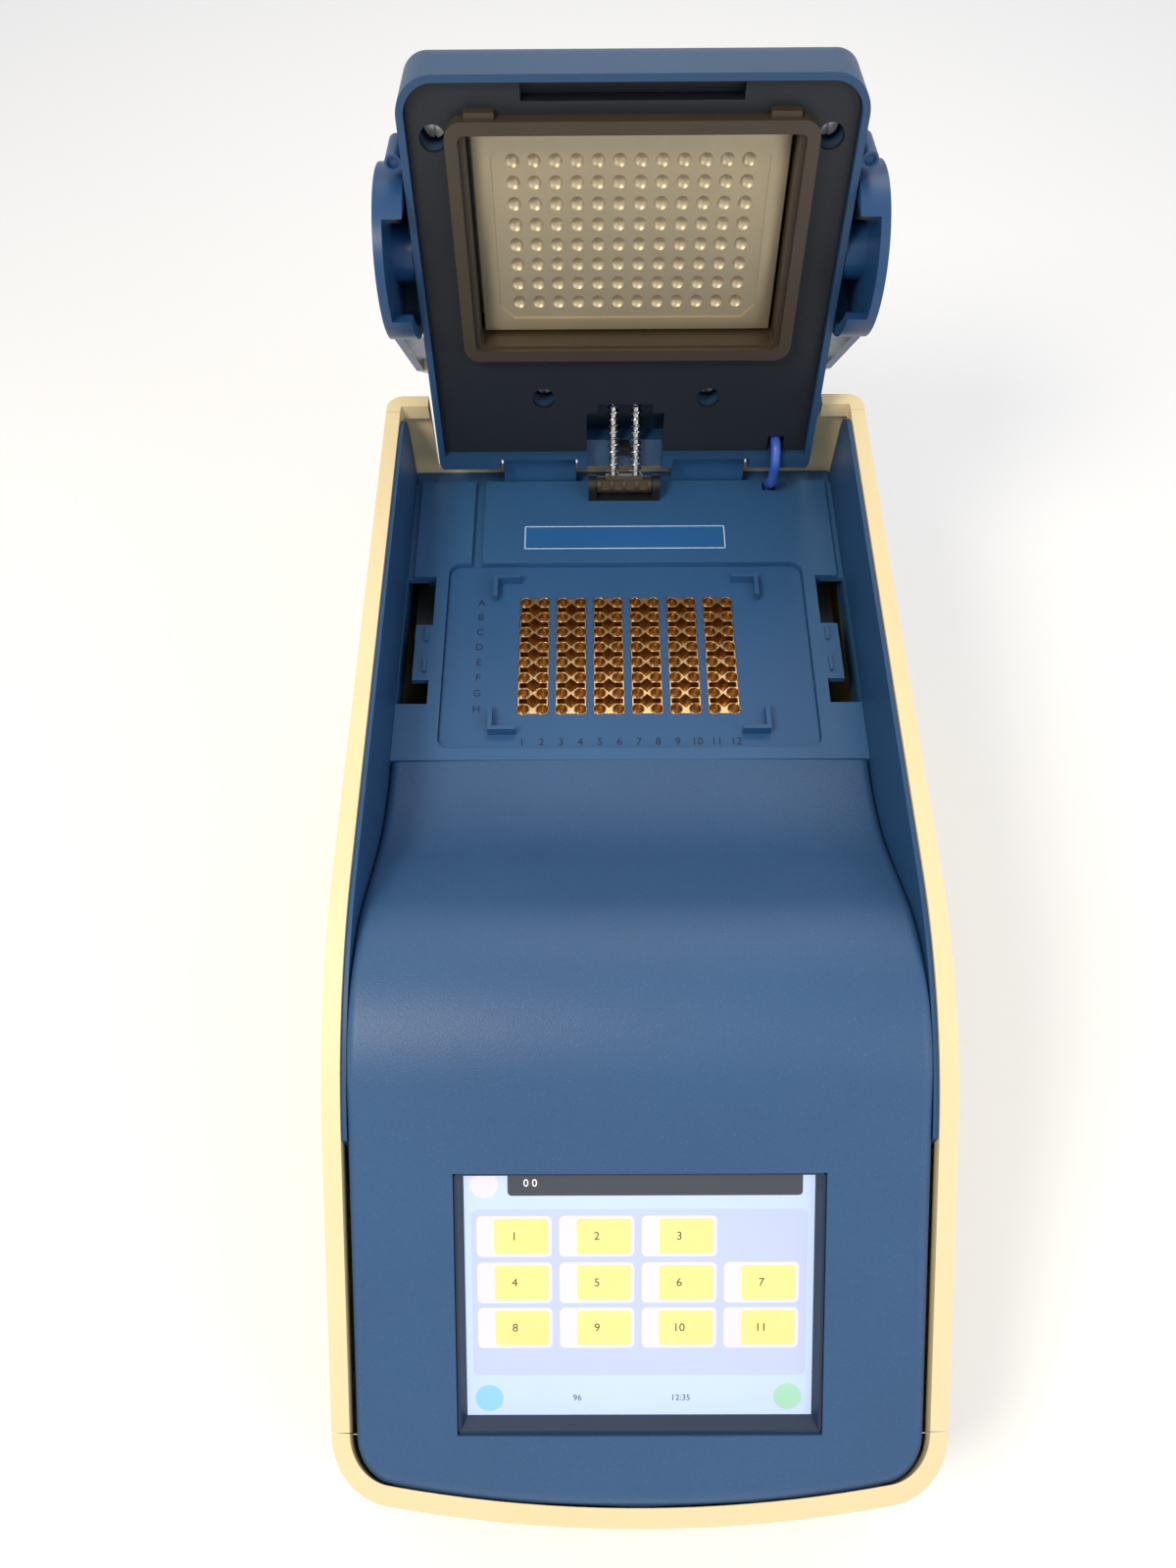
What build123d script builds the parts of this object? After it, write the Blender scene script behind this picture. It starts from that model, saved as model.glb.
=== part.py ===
from build123d import *
import math
import os

# A bench thermal cycler with a 96-well block, a hinged heated cover and a sloping touch screen.
# Millimetres. The origin is on the bench under the middle of the body, X to the right, Y to the back, Z up.
# Everything on the cover is drawn shut and is then turned open about the hinge, as the instrument stands.

# Body
body_width = 237.0
body_depth = 485.0
body_top = 237.5
front_bow_radius = 618.0
front_corner_radius = 24.0
rear_corner_radius = 8.0
panel_bottom = 12.0
panel_wall = 3.0
panel_rim = 7.0
rim_depth = 8.0
slope_angle = 36.27
slope_run = 170.2
slope_blend = 160.0
bumper_length = 32.5
rear_wrap = 11.0
shell_gap = 0.3
rear_notch_half = 98.0
rear_notch_drop = -1.5

# Sample block, its zones and wells
block_to_rear = 124.5
block_top = 190.0
well_pitch = 9.0
well_rows = 8
zone_count = 6
zone_width = 14.2
zone_length = 68.0
zone_gap = 0.3
block_height = 20.0
well_radius = 2.75
well_sides = 12
well_depth = 16.0
well_foot_radius = 0.4
pocket_depth = 9.0
pocket_half_length = 6.5
pocket_half_slot = 1.4
pocket_half_middle = 2.8
pocket_half_width = 4.1

# Deck round the block
deck_rise = 2.75
deck_thickness = 5.0
deck_front = 61.0
deck_rear_step = 110.0
trough_depth = 4.75
trough_floor = 3.0
recess_half_x = 88.5
recess_half_y = 54.5
recess_radius = 6.0
cover_thickness = 3.0
cover_ledge = 3.0
ledge_thickness = 2.5
groove_left = -77.5
groove_right = -72.0
catch_gap = 0.2
catch_inner_gap = 0.5
catch_front = -30.0
catch_back = 46.0
tab_length = 8.0
tab_front = -16.4
tab_back = 16.1
tab_thickness = 3.0
tooth_height = 1.4
tooth_width = 1.6
tooth_length = 8.0
tooth_rear = 6.0
tooth_front = -12.0
tooth_inset = 1.5
post_width = 8.0
post_front = 62.0
post_back = 98.0
foot_step_width = 3.6
foot_step_drop = 2.0
cable_slot_x = 76.0
cable_slot_half = 3.4
cable_slot_back = 112.5
cable_slot_front = 103.0
guide_x = 65.5
guide_y = 45.5
guide_leg = 13.0
guide_wall = 2.0
guide_height = 5.0
label_half_x = 52.0
label_front = 62.5
label_back = 79.5
label_thickness = 0.3

# Side liners above the deck
liner_wall = 2.0
liner_drop_below = 15.0
liner_top_drop = 1.5
liner_front_y = -115.0
liner_rear_radius = 14.0

# Hood over the front
hood_rise = 2.0
hood_wall = 3.0
hood_flange = 14.0
valley_from_block = 93.3
rise_angle = 31.0
valley_radius = 96.0
crest_radius = 67.0
screen_from_front = 74.25
opening_half_x = 70.0
opening_length = 105.6
opening_radius = 2.0
view_half_x = 66.5
view_length = 99.6
view_shift = 2.4
bezel_depth = 4.5
glass_margin = 3.0
glass_thickness = 1.8
display_thickness = 8.0
frame_sunk = 0.4
mouth_border = 1.25
driver_length = 90.0
driver_width = 60.0
driver_height = 6.0

# Hinge and cover
hinge_back = 116.0
hinge_above_block = 17.7
hinge_pin_radius = 2.0
pin_clearance = 0.06
knuckle_radius = 4.5
knuckle_inner = 25.0
knuckle_outer = 62.5
knuckle_gap = 1.0
lug_width = 4.5
open_angle = 97.67
plate_above_block = 15.5
lid_front = 69.5
lid_rear = 120.5
lid_rear_foot = 116.3
lid_rim_drop = 11.5
lid_rise = 34.5
lid_wall = 3.0
lid_corner_radius = 16.0
lid_brow_radius = 28.0
lid_edge_radius = 9.0
rear_band = 108.5
panel_drop = 7.5
panel_thickness = 2.5
panel_gap = 0.3
finger_half = 46.0
finger_back = 56.5
finger_depth = 9.0
skirt_half_x = 75.4
skirt_half_y = 53.0
skirt_wall = 5.0
skirt_drop = 14.0
skirt_radius = 7.0
screw_hole_radius = 5.5
screw_post_wall = 2.0
screw_hole_depth = 12.0
screw_head_height = 3.4
screw_head_gap = 1.2
screw_slot_width = 1.2
screw_slot_depth = 1.2
front_screw_x = 80.5
front_screw_y = 44.0
rear_screw_x = 40.0
rear_screw_y = 77.5
strut_bay_half = 19.2
strut_bay_front = 86.0
stop_x = 97.5
stop_from_block = 36.0
stop_radius = 3.5

# Heated plate
plate_half_x = 66.3
plate_half_y = 45.5
plate_thickness = 8.0
plate_face_half_x = 58.5
plate_face_half_y = 39.5
plate_face_chamfer = 6.0
plate_face_depth = 0.6
plate_travel = 3.0
heater_thickness = 1.2
carrier_thickness = 3.0
carrier_clear = 4.0
carrier_window_x = 40.0
carrier_window_y = 20.0
plate_clear = 1.5
spring_wire = 1.0
pin_bore_gap = 0.4
pin_bore_depth = 4.0
guide_pin_radius = 2.5
guide_pin_x = 55.0
guide_pin_y = 32.0

# Locking lever
pivot_back = 8.0
pivot_above_block = 16.5
disc_radius = 36.0
flange_inner = 30.6
lever_gap = 1.7
disc_web = 4.0
flange_width = 8.5
lid_side_gap = 1.0
hub_gap = 0.5
hub_radius = 12.0
hub_pin_radius = 4.0
notch_front = -27.0
notch_back = 13.5
release_angle = 134.0
bar_back = 76.0
bar_front = 118.0
bar_back_rise = 51.0
bar_front_rise = 44.5
bar_thickness = 6.0
bar_screw_radius = 1.5
arm_depth = 16.0

# Balance spring strut
strut_foot_back = 101.0
strut_foot_above = 9.5
strut_head_back = 80.0
strut_head_above = 25.5
spring_x = 5.8
spring_radius = 3.05
rod_radius = 1.75
ear_inner = 14.4
ear_outer = 18.4
ear_round = 5.0
strut_clear = 4.8
yoke_half = 10.5
yoke_depth = 8.0
slot_reach = 7.0
ear_pin_radius = 2.0
cradle_radius = 4.2

# Cooling and electronics
foot_radius = 9.0
foot_height = 8.0
foot_x = 88.0
foot_from_front = 57.5
foot_from_rear = 37.5
foot_peg_radius = 1.8
foot_peg_gap = 0.2
tray_floor = 3.0
tray_wall = 18.0
tray_gap = 0.3
bracket_from_deck = 19.2
bracket_sheet = 1.5
bracket_flange = 18.0
bracket_drop = 25.0
bracket_front = 62.0
bracket_clear = 28.0
bracket_back = 100.0
cooler_thickness = 4.0
sink_half_x = 66.0
sink_half_y = 46.0
sink_base = 9.0
sink_ear = 3.0
fin_count = 12
fin_thickness = 2.0
fin_height = 55.0
stand_from_front = 52.5
stand_inner = 52.0
stand_sheet = 6.0
stand_half_depth = 10.0
supply_width = 88.0
supply_height = 44.0
supply_from_front = 92.5
supply_from_rear = 202.5
supply_offset = -42.0
vent_count = 7
vent_pitch = 12.0
vent_width = 4.0
vent_length = 56.0
board_width = 72.0
board_offset = 48.0
board_from_front = 82.5
board_from_rear = 182.5
board_lift = 8.0
board_thickness = 1.6
board_post = 6.0
board_post_inset = 4.0
chip_heights = (3.4, 10.4, 8.4)
fan_size = 80.0
fan_depth = 25.0
fan_x = 45.0
fan_z = 105.0
fan_bore_radius = 38.0
fan_hub_radius = 15.0
blade_count = 7
blade_reach = 36.0
blade_pitch = 38.0
blade_width = 22.0
blade_thickness = 1.6
fan_strut = 4.0
fan_end = 3.0
fan_axle_radius = 1.5
slot_count = 9
slot_pitch = 8.0
slot_width = 4.0
cable_radius = 2.5
inlet_x = -60.0
inlet_z = 48.0
inlet_size = (inlet_x, inlet_z, 50.0, 28.0)
network_size = (40.0, 44.0, 17.0, 15.0)
usb_size = (68.0, 44.0, 15.0, 8.0)
rocker_x = inlet_x + 15.0
rocker_travel = 16.0
rocker_half_width = 6.4
rocker_half_height = 9.3
rocker_axle_radius = 1.2
rocker_recess_gap = 0.6
socket_from_inlet = -8.0
socket_width = 24.0
socket_height = 18.0
socket_depth = 12.0
contact_width = 2.0
contact_height = 5.0
inlet_lip = 2.0
inlet_depth = 24.0

half_width = body_width / 2
front_y = -body_depth / 2
rear_y = body_depth / 2
seam_y = front_y + bumper_length
rear_seam_y = rear_y - rear_wrap
inner_half = half_width - panel_rim
block_y = rear_y - block_to_rear
deck_top = block_top + deck_rise
deck_base = deck_top - deck_thickness
deck_half = inner_half - liner_wall - shell_gap
disc_outer_face = deck_half - lever_gap
disc_web_face = disc_outer_face - disc_web
disc_inner_face = disc_web_face - flange_width
lid_half = disc_inner_face - lid_side_gap
catch_inner = lid_half + catch_inner_gap
catch_outer = deck_half - catch_gap
tab_reach = catch_inner + tab_length
foot_step_x = deck_half - foot_step_width
bracket_x = deck_half - bracket_from_deck
slope_start = front_y + slope_run
screen_y = front_y + screen_from_front
stand_y = front_y + stand_from_front
foot_front_y = front_y + foot_from_front
foot_rear_y = rear_y - foot_from_rear
hinge_y = block_y + hinge_back
hinge_z = block_top + hinge_above_block
plate_z = block_top + plate_above_block
lid_rim_z = plate_z - lid_rim_drop
pivot_y = block_y + pivot_back
pivot_z = block_top + pivot_above_block
slope_fall = math.tan(math.radians(slope_angle))
tray_z = foot_height + 1.0
tray_top = tray_z + tray_floor
sink_low = block_top - block_height - cooler_thickness - sink_base
rocker_y = rear_y - 2.0


# Shapes used by many parts
def slab(x0, x1, y0, y1, z0, z1):
    corner = (Align.MIN, Align.MIN, Align.MIN)
    return Pos(x0, y0, z0) * Box(x1 - x0, y1 - y0, z1 - z0, align=corner)


def outline(*corners):
    face = make_face(Polyline(*[corner[:2] for corner in corners], close=True))
    for corner in corners:
        if len(corner) == 3:
            near = face.vertices().sort_by_distance(Vector(corner[0], corner[1], 0))[0]
            face = fillet(near, corner[2])
    return face


def rounded(half_x, half_y, radius):
    return RectangleRounded(2 * half_x, 2 * half_y, radius)


def across(face, x0, x1):
    return extrude(Plane.YZ.offset(x0) * face, x1 - x0)


def upright(face, z0, z1):
    return extrude(Pos(0, 0, z0) * face, z1 - z0)


def bar_x(x0, x1, y, z, radius):
    along = (Align.CENTER, Align.CENTER, Align.MIN)
    return Pos(x0, y, z) * Rot(0, 90, 0) * Cylinder(radius, x1 - x0, align=along)


def bar_z(x, y, z0, z1, radius):
    along = (Align.CENTER, Align.CENTER, Align.MIN)
    return Pos(x, y, z0) * Cylinder(radius, z1 - z0, align=along)


def both_sides(part):
    return part + mirror(part, about=Plane.YZ)


def turned(part, y, z, angle):
    return Pos(0, y, z) * Rot(angle, 0, 0) * Pos(0, -y, -z) * part


def opened(part):
    return turned(part, hinge_y, hinge_z, -open_angle)


def released(part):
    return opened(turned(part, pivot_y, pivot_z, -release_angle))


def save(name, part):
    solids = part.solids()
    whole = solids[0] if len(solids) == 1 else Compound(children=list(solids))
    export_step(whole, f"parts/{name}.step")


# The body's outline seen from above, drawn in by an inset
def plan(inset):
    sagitta = front_bow_radius - math.sqrt(front_bow_radius**2 - half_width**2)
    side_y = front_y + sagitta
    sides = Polyline((half_width, side_y), (half_width, rear_y), (-half_width, rear_y), (-half_width, side_y))
    face = make_face(sides + ThreePointArc((-half_width, side_y), (0, front_y), (half_width, side_y)))
    face = fillet(face.vertices().sort_by(Axis.Y)[:2], front_corner_radius)
    face = fillet(face.vertices().sort_by(Axis.Y)[-2:], rear_corner_radius)
    return offset(face, -inset) if inset else face


# The body's height at the front slope, and the body seen from the side with its top lowered by a drop
def slope_height(y):
    return body_top - (slope_start - y) * slope_fall


def side_view(drop):
    return outline(
        (rear_y + 1, 0),
        (rear_y + 1, body_top - drop),
        (slope_start, body_top - drop, slope_blend),
        (front_y - 1, slope_height(front_y - 1) - drop),
        (front_y - 1, 0),
    )


def body_wall(y0, y1):
    outer = across(side_view(0), -half_width, half_width)
    lower = across(side_view(rim_depth), -half_width - 1, half_width + 1)
    wall = upright(plan(0) - plan(panel_wall), panel_bottom, body_top)
    rim = upright(plan(panel_wall) - plan(panel_rim), panel_bottom, body_top) - lower
    span = slab(-half_width - 1, half_width + 1, y0, y1, 0, body_top + 1)
    return (wall + rim) & outer & span


def front_bumper():
    return body_wall(front_y - 1, seam_y - shell_gap / 2)


def left_side_panel():
    whole = body_wall(seam_y + shell_gap / 2, rear_seam_y - shell_gap / 2)
    return whole.solids().sort_by(Axis.X)[0]


def rear_panel():
    wall = body_wall(rear_seam_y + shell_gap / 2, rear_y + 1)
    cut_y = rear_seam_y - 1
    notch_z = block_top - rear_notch_drop
    wall -= slab(-rear_notch_half, rear_notch_half, cut_y, rear_y + 1, notch_z, body_top + 1)
    for side in (-1, 1):
        for step in range(-(slot_count // 2), slot_count // 2 + 1):
            reach = math.sqrt((fan_bore_radius - 1) ** 2 - (step * slot_pitch) ** 2)
            x = side * fan_x + step * slot_pitch
            half = slot_width / 2
            wall -= slab(x - half, x + half, cut_y, rear_y + 1, fan_z - reach, fan_z + reach)
    for x, z, size_x, size_z in (inlet_size, network_size, usb_size):
        wall -= slab(x - size_x / 2, x + size_x / 2, cut_y, rear_y + 1, z - size_z / 2, z + size_z / 2)
    return wall


# Blue liners inside the tops of the side panels
def left_liner():
    top = side_view(liner_top_drop)
    low = block_top - liner_drop_below
    back = rear_y - panel_rim - shell_gap
    keep = outline(
        (back, low),
        (back, body_top - liner_top_drop, liner_rear_radius),
        (liner_front_y, body_top - liner_top_drop),
        (liner_front_y, low),
    )
    x0 = -inner_half + shell_gap / 3
    return across(top & keep, x0, x0 + liner_wall)


# Hood: a sheet that follows a curve from the deck over the crest and down the screen slope
def hood_curve(drop):
    rise = math.tan(math.radians(rise_angle))
    start_z = block_top + hood_rise
    valley_y = block_y - valley_from_block
    crest_y = (slope_height(0) - start_z - rise * valley_y) / (-rise - slope_fall)
    crest_z = slope_height(crest_y)
    return outline(
        (block_y - deck_front, 0),
        (block_y - deck_front, start_z - drop),
        (valley_y, start_z - drop, valley_radius),
        (crest_y, crest_z - drop, crest_radius),
        (front_y - 5, slope_height(front_y - 5) - drop),
        (front_y - 5, 0),
    )


def on_slope(part):
    return Pos(0, screen_y, slope_height(screen_y)) * Rot(slope_angle, 0, 0) * part


def hood():
    above = across(hood_curve(0), -deck_half, deck_half)
    below = across(hood_curve(hood_wall / math.cos(math.radians(slope_angle))), -half_width, half_width)
    deep = across(hood_curve(hood_flange), -half_width, half_width)
    edge = plan(panel_rim + shell_gap)
    sheet = (above - below) & upright(edge, 0, body_top)
    flange = (above - deep) & upright(edge - offset(edge, -hood_wall), 0, body_top)
    flange &= slab(-half_width, half_width, front_y, block_y - deck_front - shell_gap, 0, body_top)
    window = extrude(rounded(opening_half_x, opening_length / 2, opening_radius), 60, both=True)
    return (sheet + flange - on_slope(window)).solids().sort_by(SortBy.VOLUME)[-1]


# The window frame steps down from the hood to the glass, with a wide ledge at the bottom
def screen_bezel():
    outer = rounded(opening_half_x - shell_gap, opening_length / 2 - shell_gap, opening_radius)
    back = rounded(opening_half_x + glass_margin, opening_length / 2 + glass_margin, opening_radius)
    back_top = -hood_wall - shell_gap
    ring = extrude(Pos(0, 0, -bezel_depth) * outer, bezel_depth - frame_sunk)
    ring += extrude(Pos(0, 0, -bezel_depth) * back, bezel_depth + back_top)
    view = Pos(0, view_shift) * Rectangle(2 * view_half_x, view_length)
    mouth = Rectangle(2 * (opening_half_x - mouth_border), opening_length - 2 * mouth_border)
    funnel = loft(Sketch() + [Pos(0, 0, -bezel_depth) * view, mouth])
    return on_slope(ring - funnel)


def touch_glass():
    face = rounded(opening_half_x + glass_margin, opening_length / 2 + glass_margin, opening_radius)
    return on_slope(extrude(Pos(0, 0, -bezel_depth - glass_thickness) * face, glass_thickness))


def display_module():
    back = -bezel_depth - glass_thickness
    face = rounded(opening_half_x + glass_margin, opening_length / 2 + glass_margin, opening_radius)
    tray = extrude(Pos(0, 0, back - display_thickness) * face, display_thickness)
    driver_middle = back - display_thickness - driver_height / 2
    driver = Pos(0, 0, driver_middle) * Box(driver_length, driver_width, driver_height)
    return on_slope(tray + driver)


# Deck: the tray round the block with its two latch openings and the hinge knuckles behind
def deck():
    y0 = block_y - deck_front + shell_gap
    y1 = rear_y - panel_wall - shell_gap
    low = deck_top - trough_depth
    step_y = block_y + deck_rear_step
    body = slab(-deck_half, deck_half, y0, step_y, deck_base, deck_top)
    body += slab(-deck_half, deck_half, step_y, y1, low - trough_floor, low)
    body += slab(-deck_half, deck_half, step_y - 3, step_y, low - trough_floor, deck_top)
    ledge = rounded(recess_half_x, recess_half_y, recess_radius)
    frame = offset(ledge, cover_ledge)
    inner = offset(ledge, -cover_ledge)
    ledge_top = block_top - cover_thickness
    body += Pos(0, block_y) * upright(frame, ledge_top - ledge_thickness, deck_top)
    body -= Pos(0, block_y) * upright(ledge, ledge_top, deck_top + 1)
    body -= Pos(0, block_y) * upright(inner, ledge_top - ledge_thickness - 1, deck_top)
    groove_back = block_y + deck_rear_step
    body -= slab(groove_left, groove_right, block_y + recess_half_y - 1, groove_back, block_top, deck_top + 1)
    wing = slab(foot_step_x, deck_half + 1, block_y + catch_back, groove_back, deck_top - foot_step_drop, deck_top + 1)
    opening = slab(catch_inner, catch_outer, block_y + catch_front, block_y + catch_back, low - 9, deck_top + 1)
    body -= both_sides(wing + opening)
    tab = slab(catch_inner - 1, tab_reach, block_y + tab_front, block_y + tab_back, deck_top - tab_thickness, deck_top)
    tooth_x = catch_inner + tooth_inset
    tooth = Part()
    for y in (block_y + tooth_rear, block_y + tooth_front):
        tooth += slab(tooth_x, tooth_x + tooth_width, y, y + tooth_length, deck_top, deck_top + tooth_height)
    body += both_sides(tab + tooth)
    slot = slab(
        cable_slot_x - cable_slot_half,
        cable_slot_x + cable_slot_half,
        block_y + cable_slot_front,
        block_y + cable_slot_back,
        low - 9,
        deck_top + 1,
    )
    post_x = catch_inner + catch_inner_gap
    post_top = block_top - bracket_drop
    post = slab(post_x, post_x + post_width, block_y + post_front, block_y + post_back, post_top, deck_base)
    knuckle = slab(knuckle_inner, knuckle_outer, hinge_y - knuckle_radius, hinge_y + knuckle_radius, low, hinge_z)
    knuckle += bar_x(knuckle_inner, knuckle_outer, hinge_y, hinge_z, knuckle_radius)
    knuckle -= bar_x(knuckle_inner - 1, knuckle_outer + 1, hinge_y, hinge_z, hinge_pin_radius + pin_clearance)
    return body + both_sides(post + knuckle) - slot


def block_cover():
    face = rounded(recess_half_x - shell_gap, recess_half_y - shell_gap, recess_radius)
    for zone in range(zone_count):
        face -= Pos(zone_x(zone), 0) * Rectangle(zone_width + 2 * zone_gap, zone_length + 2 * zone_gap)
    part = upright(face, block_top - cover_thickness, block_top)
    for side_x in (-1, 1):
        for side_y in (-1, 1):
            leg = Pos(guide_x - guide_leg / 2, guide_y - guide_wall / 2) * Rectangle(guide_leg, guide_wall)
            leg += Pos(guide_x - guide_wall / 2, guide_y - guide_leg / 2) * Rectangle(guide_wall, guide_leg)
            corner = upright(leg, block_top, block_top + guide_height)
            if side_x < 0:
                corner = mirror(corner, about=Plane.YZ)
            if side_y < 0:
                corner = mirror(corner, about=Plane.XZ)
            part += corner
    return Pos(0, block_y) * part


# Six block zones, each with two columns of tapered wells, relieved between the wells
def zone_x(zone):
    return (zone - (zone_count - 1) / 2) * 2 * well_pitch


def block_zone():
    base = block_top - block_height
    part = upright(Rectangle(zone_width, zone_length), base, block_top)
    quarter = [
        (0, pocket_half_width),
        (pocket_half_middle, pocket_half_slot),
        (pocket_half_length, pocket_half_slot),
    ]
    right = quarter + [(x, -y) for x, y in reversed(quarter)]
    left = [(-x, y) for x, y in reversed(right[1:-1])]
    pocket = upright(outline(*right, *left), block_top - pocket_depth, block_top + 1)
    for row in range(well_rows - 1):
        part -= Pos(0, (row + 1 - well_rows / 2) * well_pitch) * pocket
    mouth = Pos(0, 0, block_top) * RegularPolygon(well_radius, well_sides)
    lean = math.degrees(math.atan((well_radius - well_foot_radius) / well_depth))
    well = extrude(mouth, -well_depth, taper=lean)
    for row in range(well_rows):
        y = (row - (well_rows - 1) / 2) * well_pitch
        for x in (-well_pitch / 2, well_pitch / 2):
            part -= Pos(x, y) * well
    return part


def label_plate():
    y = block_y + (label_front + label_back) / 2
    face = rounded(label_half_x, (label_back - label_front) / 2, 2.0)
    return Pos(0, y) * upright(face, deck_top, deck_top + label_thickness)


# Cover: a shell with a band round the hinge, a panel inside it and a skirt round the heated plate
def lid_plan(inset):
    half = lid_half - inset
    return outline(
        (half, block_y - lid_front + inset, lid_corner_radius - inset),
        (half, hinge_y + knuckle_radius - inset),
        (-half, hinge_y + knuckle_radius - inset),
        (-half, block_y - lid_front + inset, lid_corner_radius - inset),
    )


def lid_form(inset, drop):
    top = plate_z + lid_rise - inset
    side = outline(
        (block_y + lid_rear_foot - inset, lid_rim_z - drop),
        (block_y + lid_rear - inset, lid_rim_z + 7.0 - drop),
        (block_y + lid_rear - inset, top, lid_corner_radius - inset),
        (block_y - lid_front + inset, top, lid_brow_radius - inset),
        (block_y - lid_front + inset, lid_rim_z - drop),
    )
    form = across(side, -lid_half + inset, lid_half - inset)
    form &= upright(lid_plan(inset), lid_rim_z - drop - 1, top + 1)
    crown = form.edges().filter_by(GeomType.LINE).filter_by(Axis.Y).group_by(Axis.Z)[-1]
    return fillet(crown, lid_edge_radius - inset)


def knuckle_notch():
    x0 = knuckle_inner - knuckle_gap
    x1 = knuckle_outer + knuckle_gap
    y0 = hinge_y - knuckle_radius - knuckle_gap
    return slab(x0, x1, y0, rear_y, 0, hinge_z + knuckle_radius + knuckle_gap)


def lid_shell():
    band_y = block_y + rear_band
    shell = lid_form(0, 0) - (lid_form(lid_wall, 5) - slab(-lid_half, lid_half, band_y, rear_y, 0, hinge_z + 9))
    shell -= strut_bay(strut_bay_half)
    shell -= both_sides(knuckle_notch())
    pin_end = knuckle_outer + knuckle_gap + lug_width
    shell -= bar_x(-pin_end, pin_end, hinge_y, hinge_z, hinge_pin_radius)
    shell -= bar_x(-lid_half - 1, lid_half + 1, pivot_y, pivot_z, hub_pin_radius)
    post_top = plate_z + lid_rise - lid_wall
    seat = plate_z - panel_drop + panel_thickness
    for x, y in screw_places():
        half = screw_hole_radius + screw_post_wall
        post = slab(x - half, x + half, block_y + y - half, block_y + y + half, seat, post_top)
        shell += post - bar_z(x, block_y + y, seat - 1, seat + screw_hole_depth, screw_hole_radius)
    return shell


def screw_places():
    return [
        (front_screw_x, -front_screw_y),
        (-front_screw_x, -front_screw_y),
        (rear_screw_x, rear_screw_y),
        (-rear_screw_x, rear_screw_y),
    ]


def lid_panel():
    low = plate_z - panel_drop
    inner = lid_plan(lid_wall + panel_gap)
    top = block_y + rear_band - panel_gap
    face = inner & Pos(0, top - 150) * Rectangle(2 * lid_half, 300)
    face -= Pos(0, block_y) * rounded(skirt_half_x - skirt_wall, skirt_half_y - skirt_wall, skirt_radius - 4)
    for x, y in screw_places():
        face -= Pos(x, block_y + y) * Circle(screw_hole_radius)
    bay_y = block_y + strut_bay_front
    face -= Pos(0, bay_y + 20) * Rectangle(2 * strut_bay_half, 40)
    face -= Pos(0, bay_y) * Rectangle(27, 10)
    face -= Pos(cable_slot_x, block_y + rear_band - 4) * Rectangle(8, 9)
    finger_y = block_y - (lid_front + finger_back) / 2
    finger = Pos(0, finger_y) * Rectangle(2 * finger_half, lid_front - finger_back)
    part = upright(face - finger, low, low + panel_thickness)
    wall = 1.6
    tray = upright((finger & inner), low, low + finger_depth)
    hollow = Pos(0, finger_y) * Rectangle(2 * finger_half - 2 * wall, lid_front - finger_back - 2 * wall)
    part += tray - upright(hollow & offset(inner, -wall), low - 1, low + finger_depth - wall)
    return part


def cover_skirt():
    low = plate_z - skirt_drop
    outer = rounded(skirt_half_x, skirt_half_y, skirt_radius)
    collar = rounded(skirt_half_x - skirt_wall - panel_gap, skirt_half_y - skirt_wall - panel_gap, 2.5)
    seat = plate_z - panel_drop
    ring = upright(outer - collar, low, seat)
    hole = rounded(plate_half_x + plate_clear, plate_half_y + plate_clear, 1.0)
    ring += upright(collar - hole, low + 3, plate_z + 5)
    for x in (-61.0, 61.0):
        y = -skirt_half_y - 1.2
        ring += upright(Pos(x, y) * Rectangle(12, 3.0), low + 2, seat)
    return Pos(0, block_y) * ring


# Heated plate with its sunk face, its heater, and the carrier that it floats in
def heated_plate():
    part = upright(rounded(plate_half_x, plate_half_y, 0.8), plate_z, plate_z + plate_thickness)
    half_x = plate_face_half_x
    half_y = plate_face_half_y
    cut = plate_face_chamfer
    face = make_face(
        Polyline(
            (half_x - cut, half_y), (half_x, half_y - cut), (half_x, -half_y + cut), (half_x - cut, -half_y),
            (-half_x + cut, -half_y), (-half_x, -half_y + cut), (-half_x, half_y - cut), (-half_x + cut, half_y),
            close=True,
        )
    )
    part -= upright(face, plate_z - 1, plate_z + plate_face_depth)
    top = plate_z + plate_thickness
    for x, y in guide_places():
        part -= bar_z(x, y, top - pin_bore_depth, top + 1, guide_pin_radius + pin_bore_gap)
    return Pos(0, block_y) * part


def guide_places():
    return [(x, y) for x in (-guide_pin_x, guide_pin_x) for y in (-guide_pin_y, guide_pin_y)]


def plate_heater():
    z = plate_z + plate_thickness
    face = rounded(plate_half_x - 4, plate_half_y - 4, 3.0)
    for x, y in guide_places():
        face -= Pos(x, y) * Circle(guide_pin_radius + 4.5)
    return Pos(0, block_y) * upright(face, z, z + heater_thickness)


def carrier_z():
    return plate_z + plate_thickness + heater_thickness + plate_travel + carrier_clear


def plate_carrier():
    z = carrier_z()
    frame = rounded(skirt_half_x - skirt_wall - 1, skirt_half_y - skirt_wall - 1, 3.0)
    frame -= rounded(carrier_window_x, carrier_window_y, 3.0)
    part = upright(frame, z, z + carrier_thickness)
    for x, y in guide_places():
        part += bar_z(x, y, plate_z + plate_thickness - 0.6, z, guide_pin_radius)
        part += bar_z(x, y, z + carrier_thickness, plate_z + lid_rise - lid_wall, guide_pin_radius + 2)
    return Pos(0, block_y) * part


def plate_springs():
    z0 = plate_z + plate_thickness + pin_clearance
    z1 = carrier_z()
    inner = guide_pin_radius + 2 * pin_bore_gap
    part = Part()
    for x, y in guide_places():
        part += bar_z(x, y, z0, z1, inner + spring_wire) - bar_z(x, y, z0 - 1, z1 + 1, inner)
    return Pos(0, block_y) * part


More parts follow.
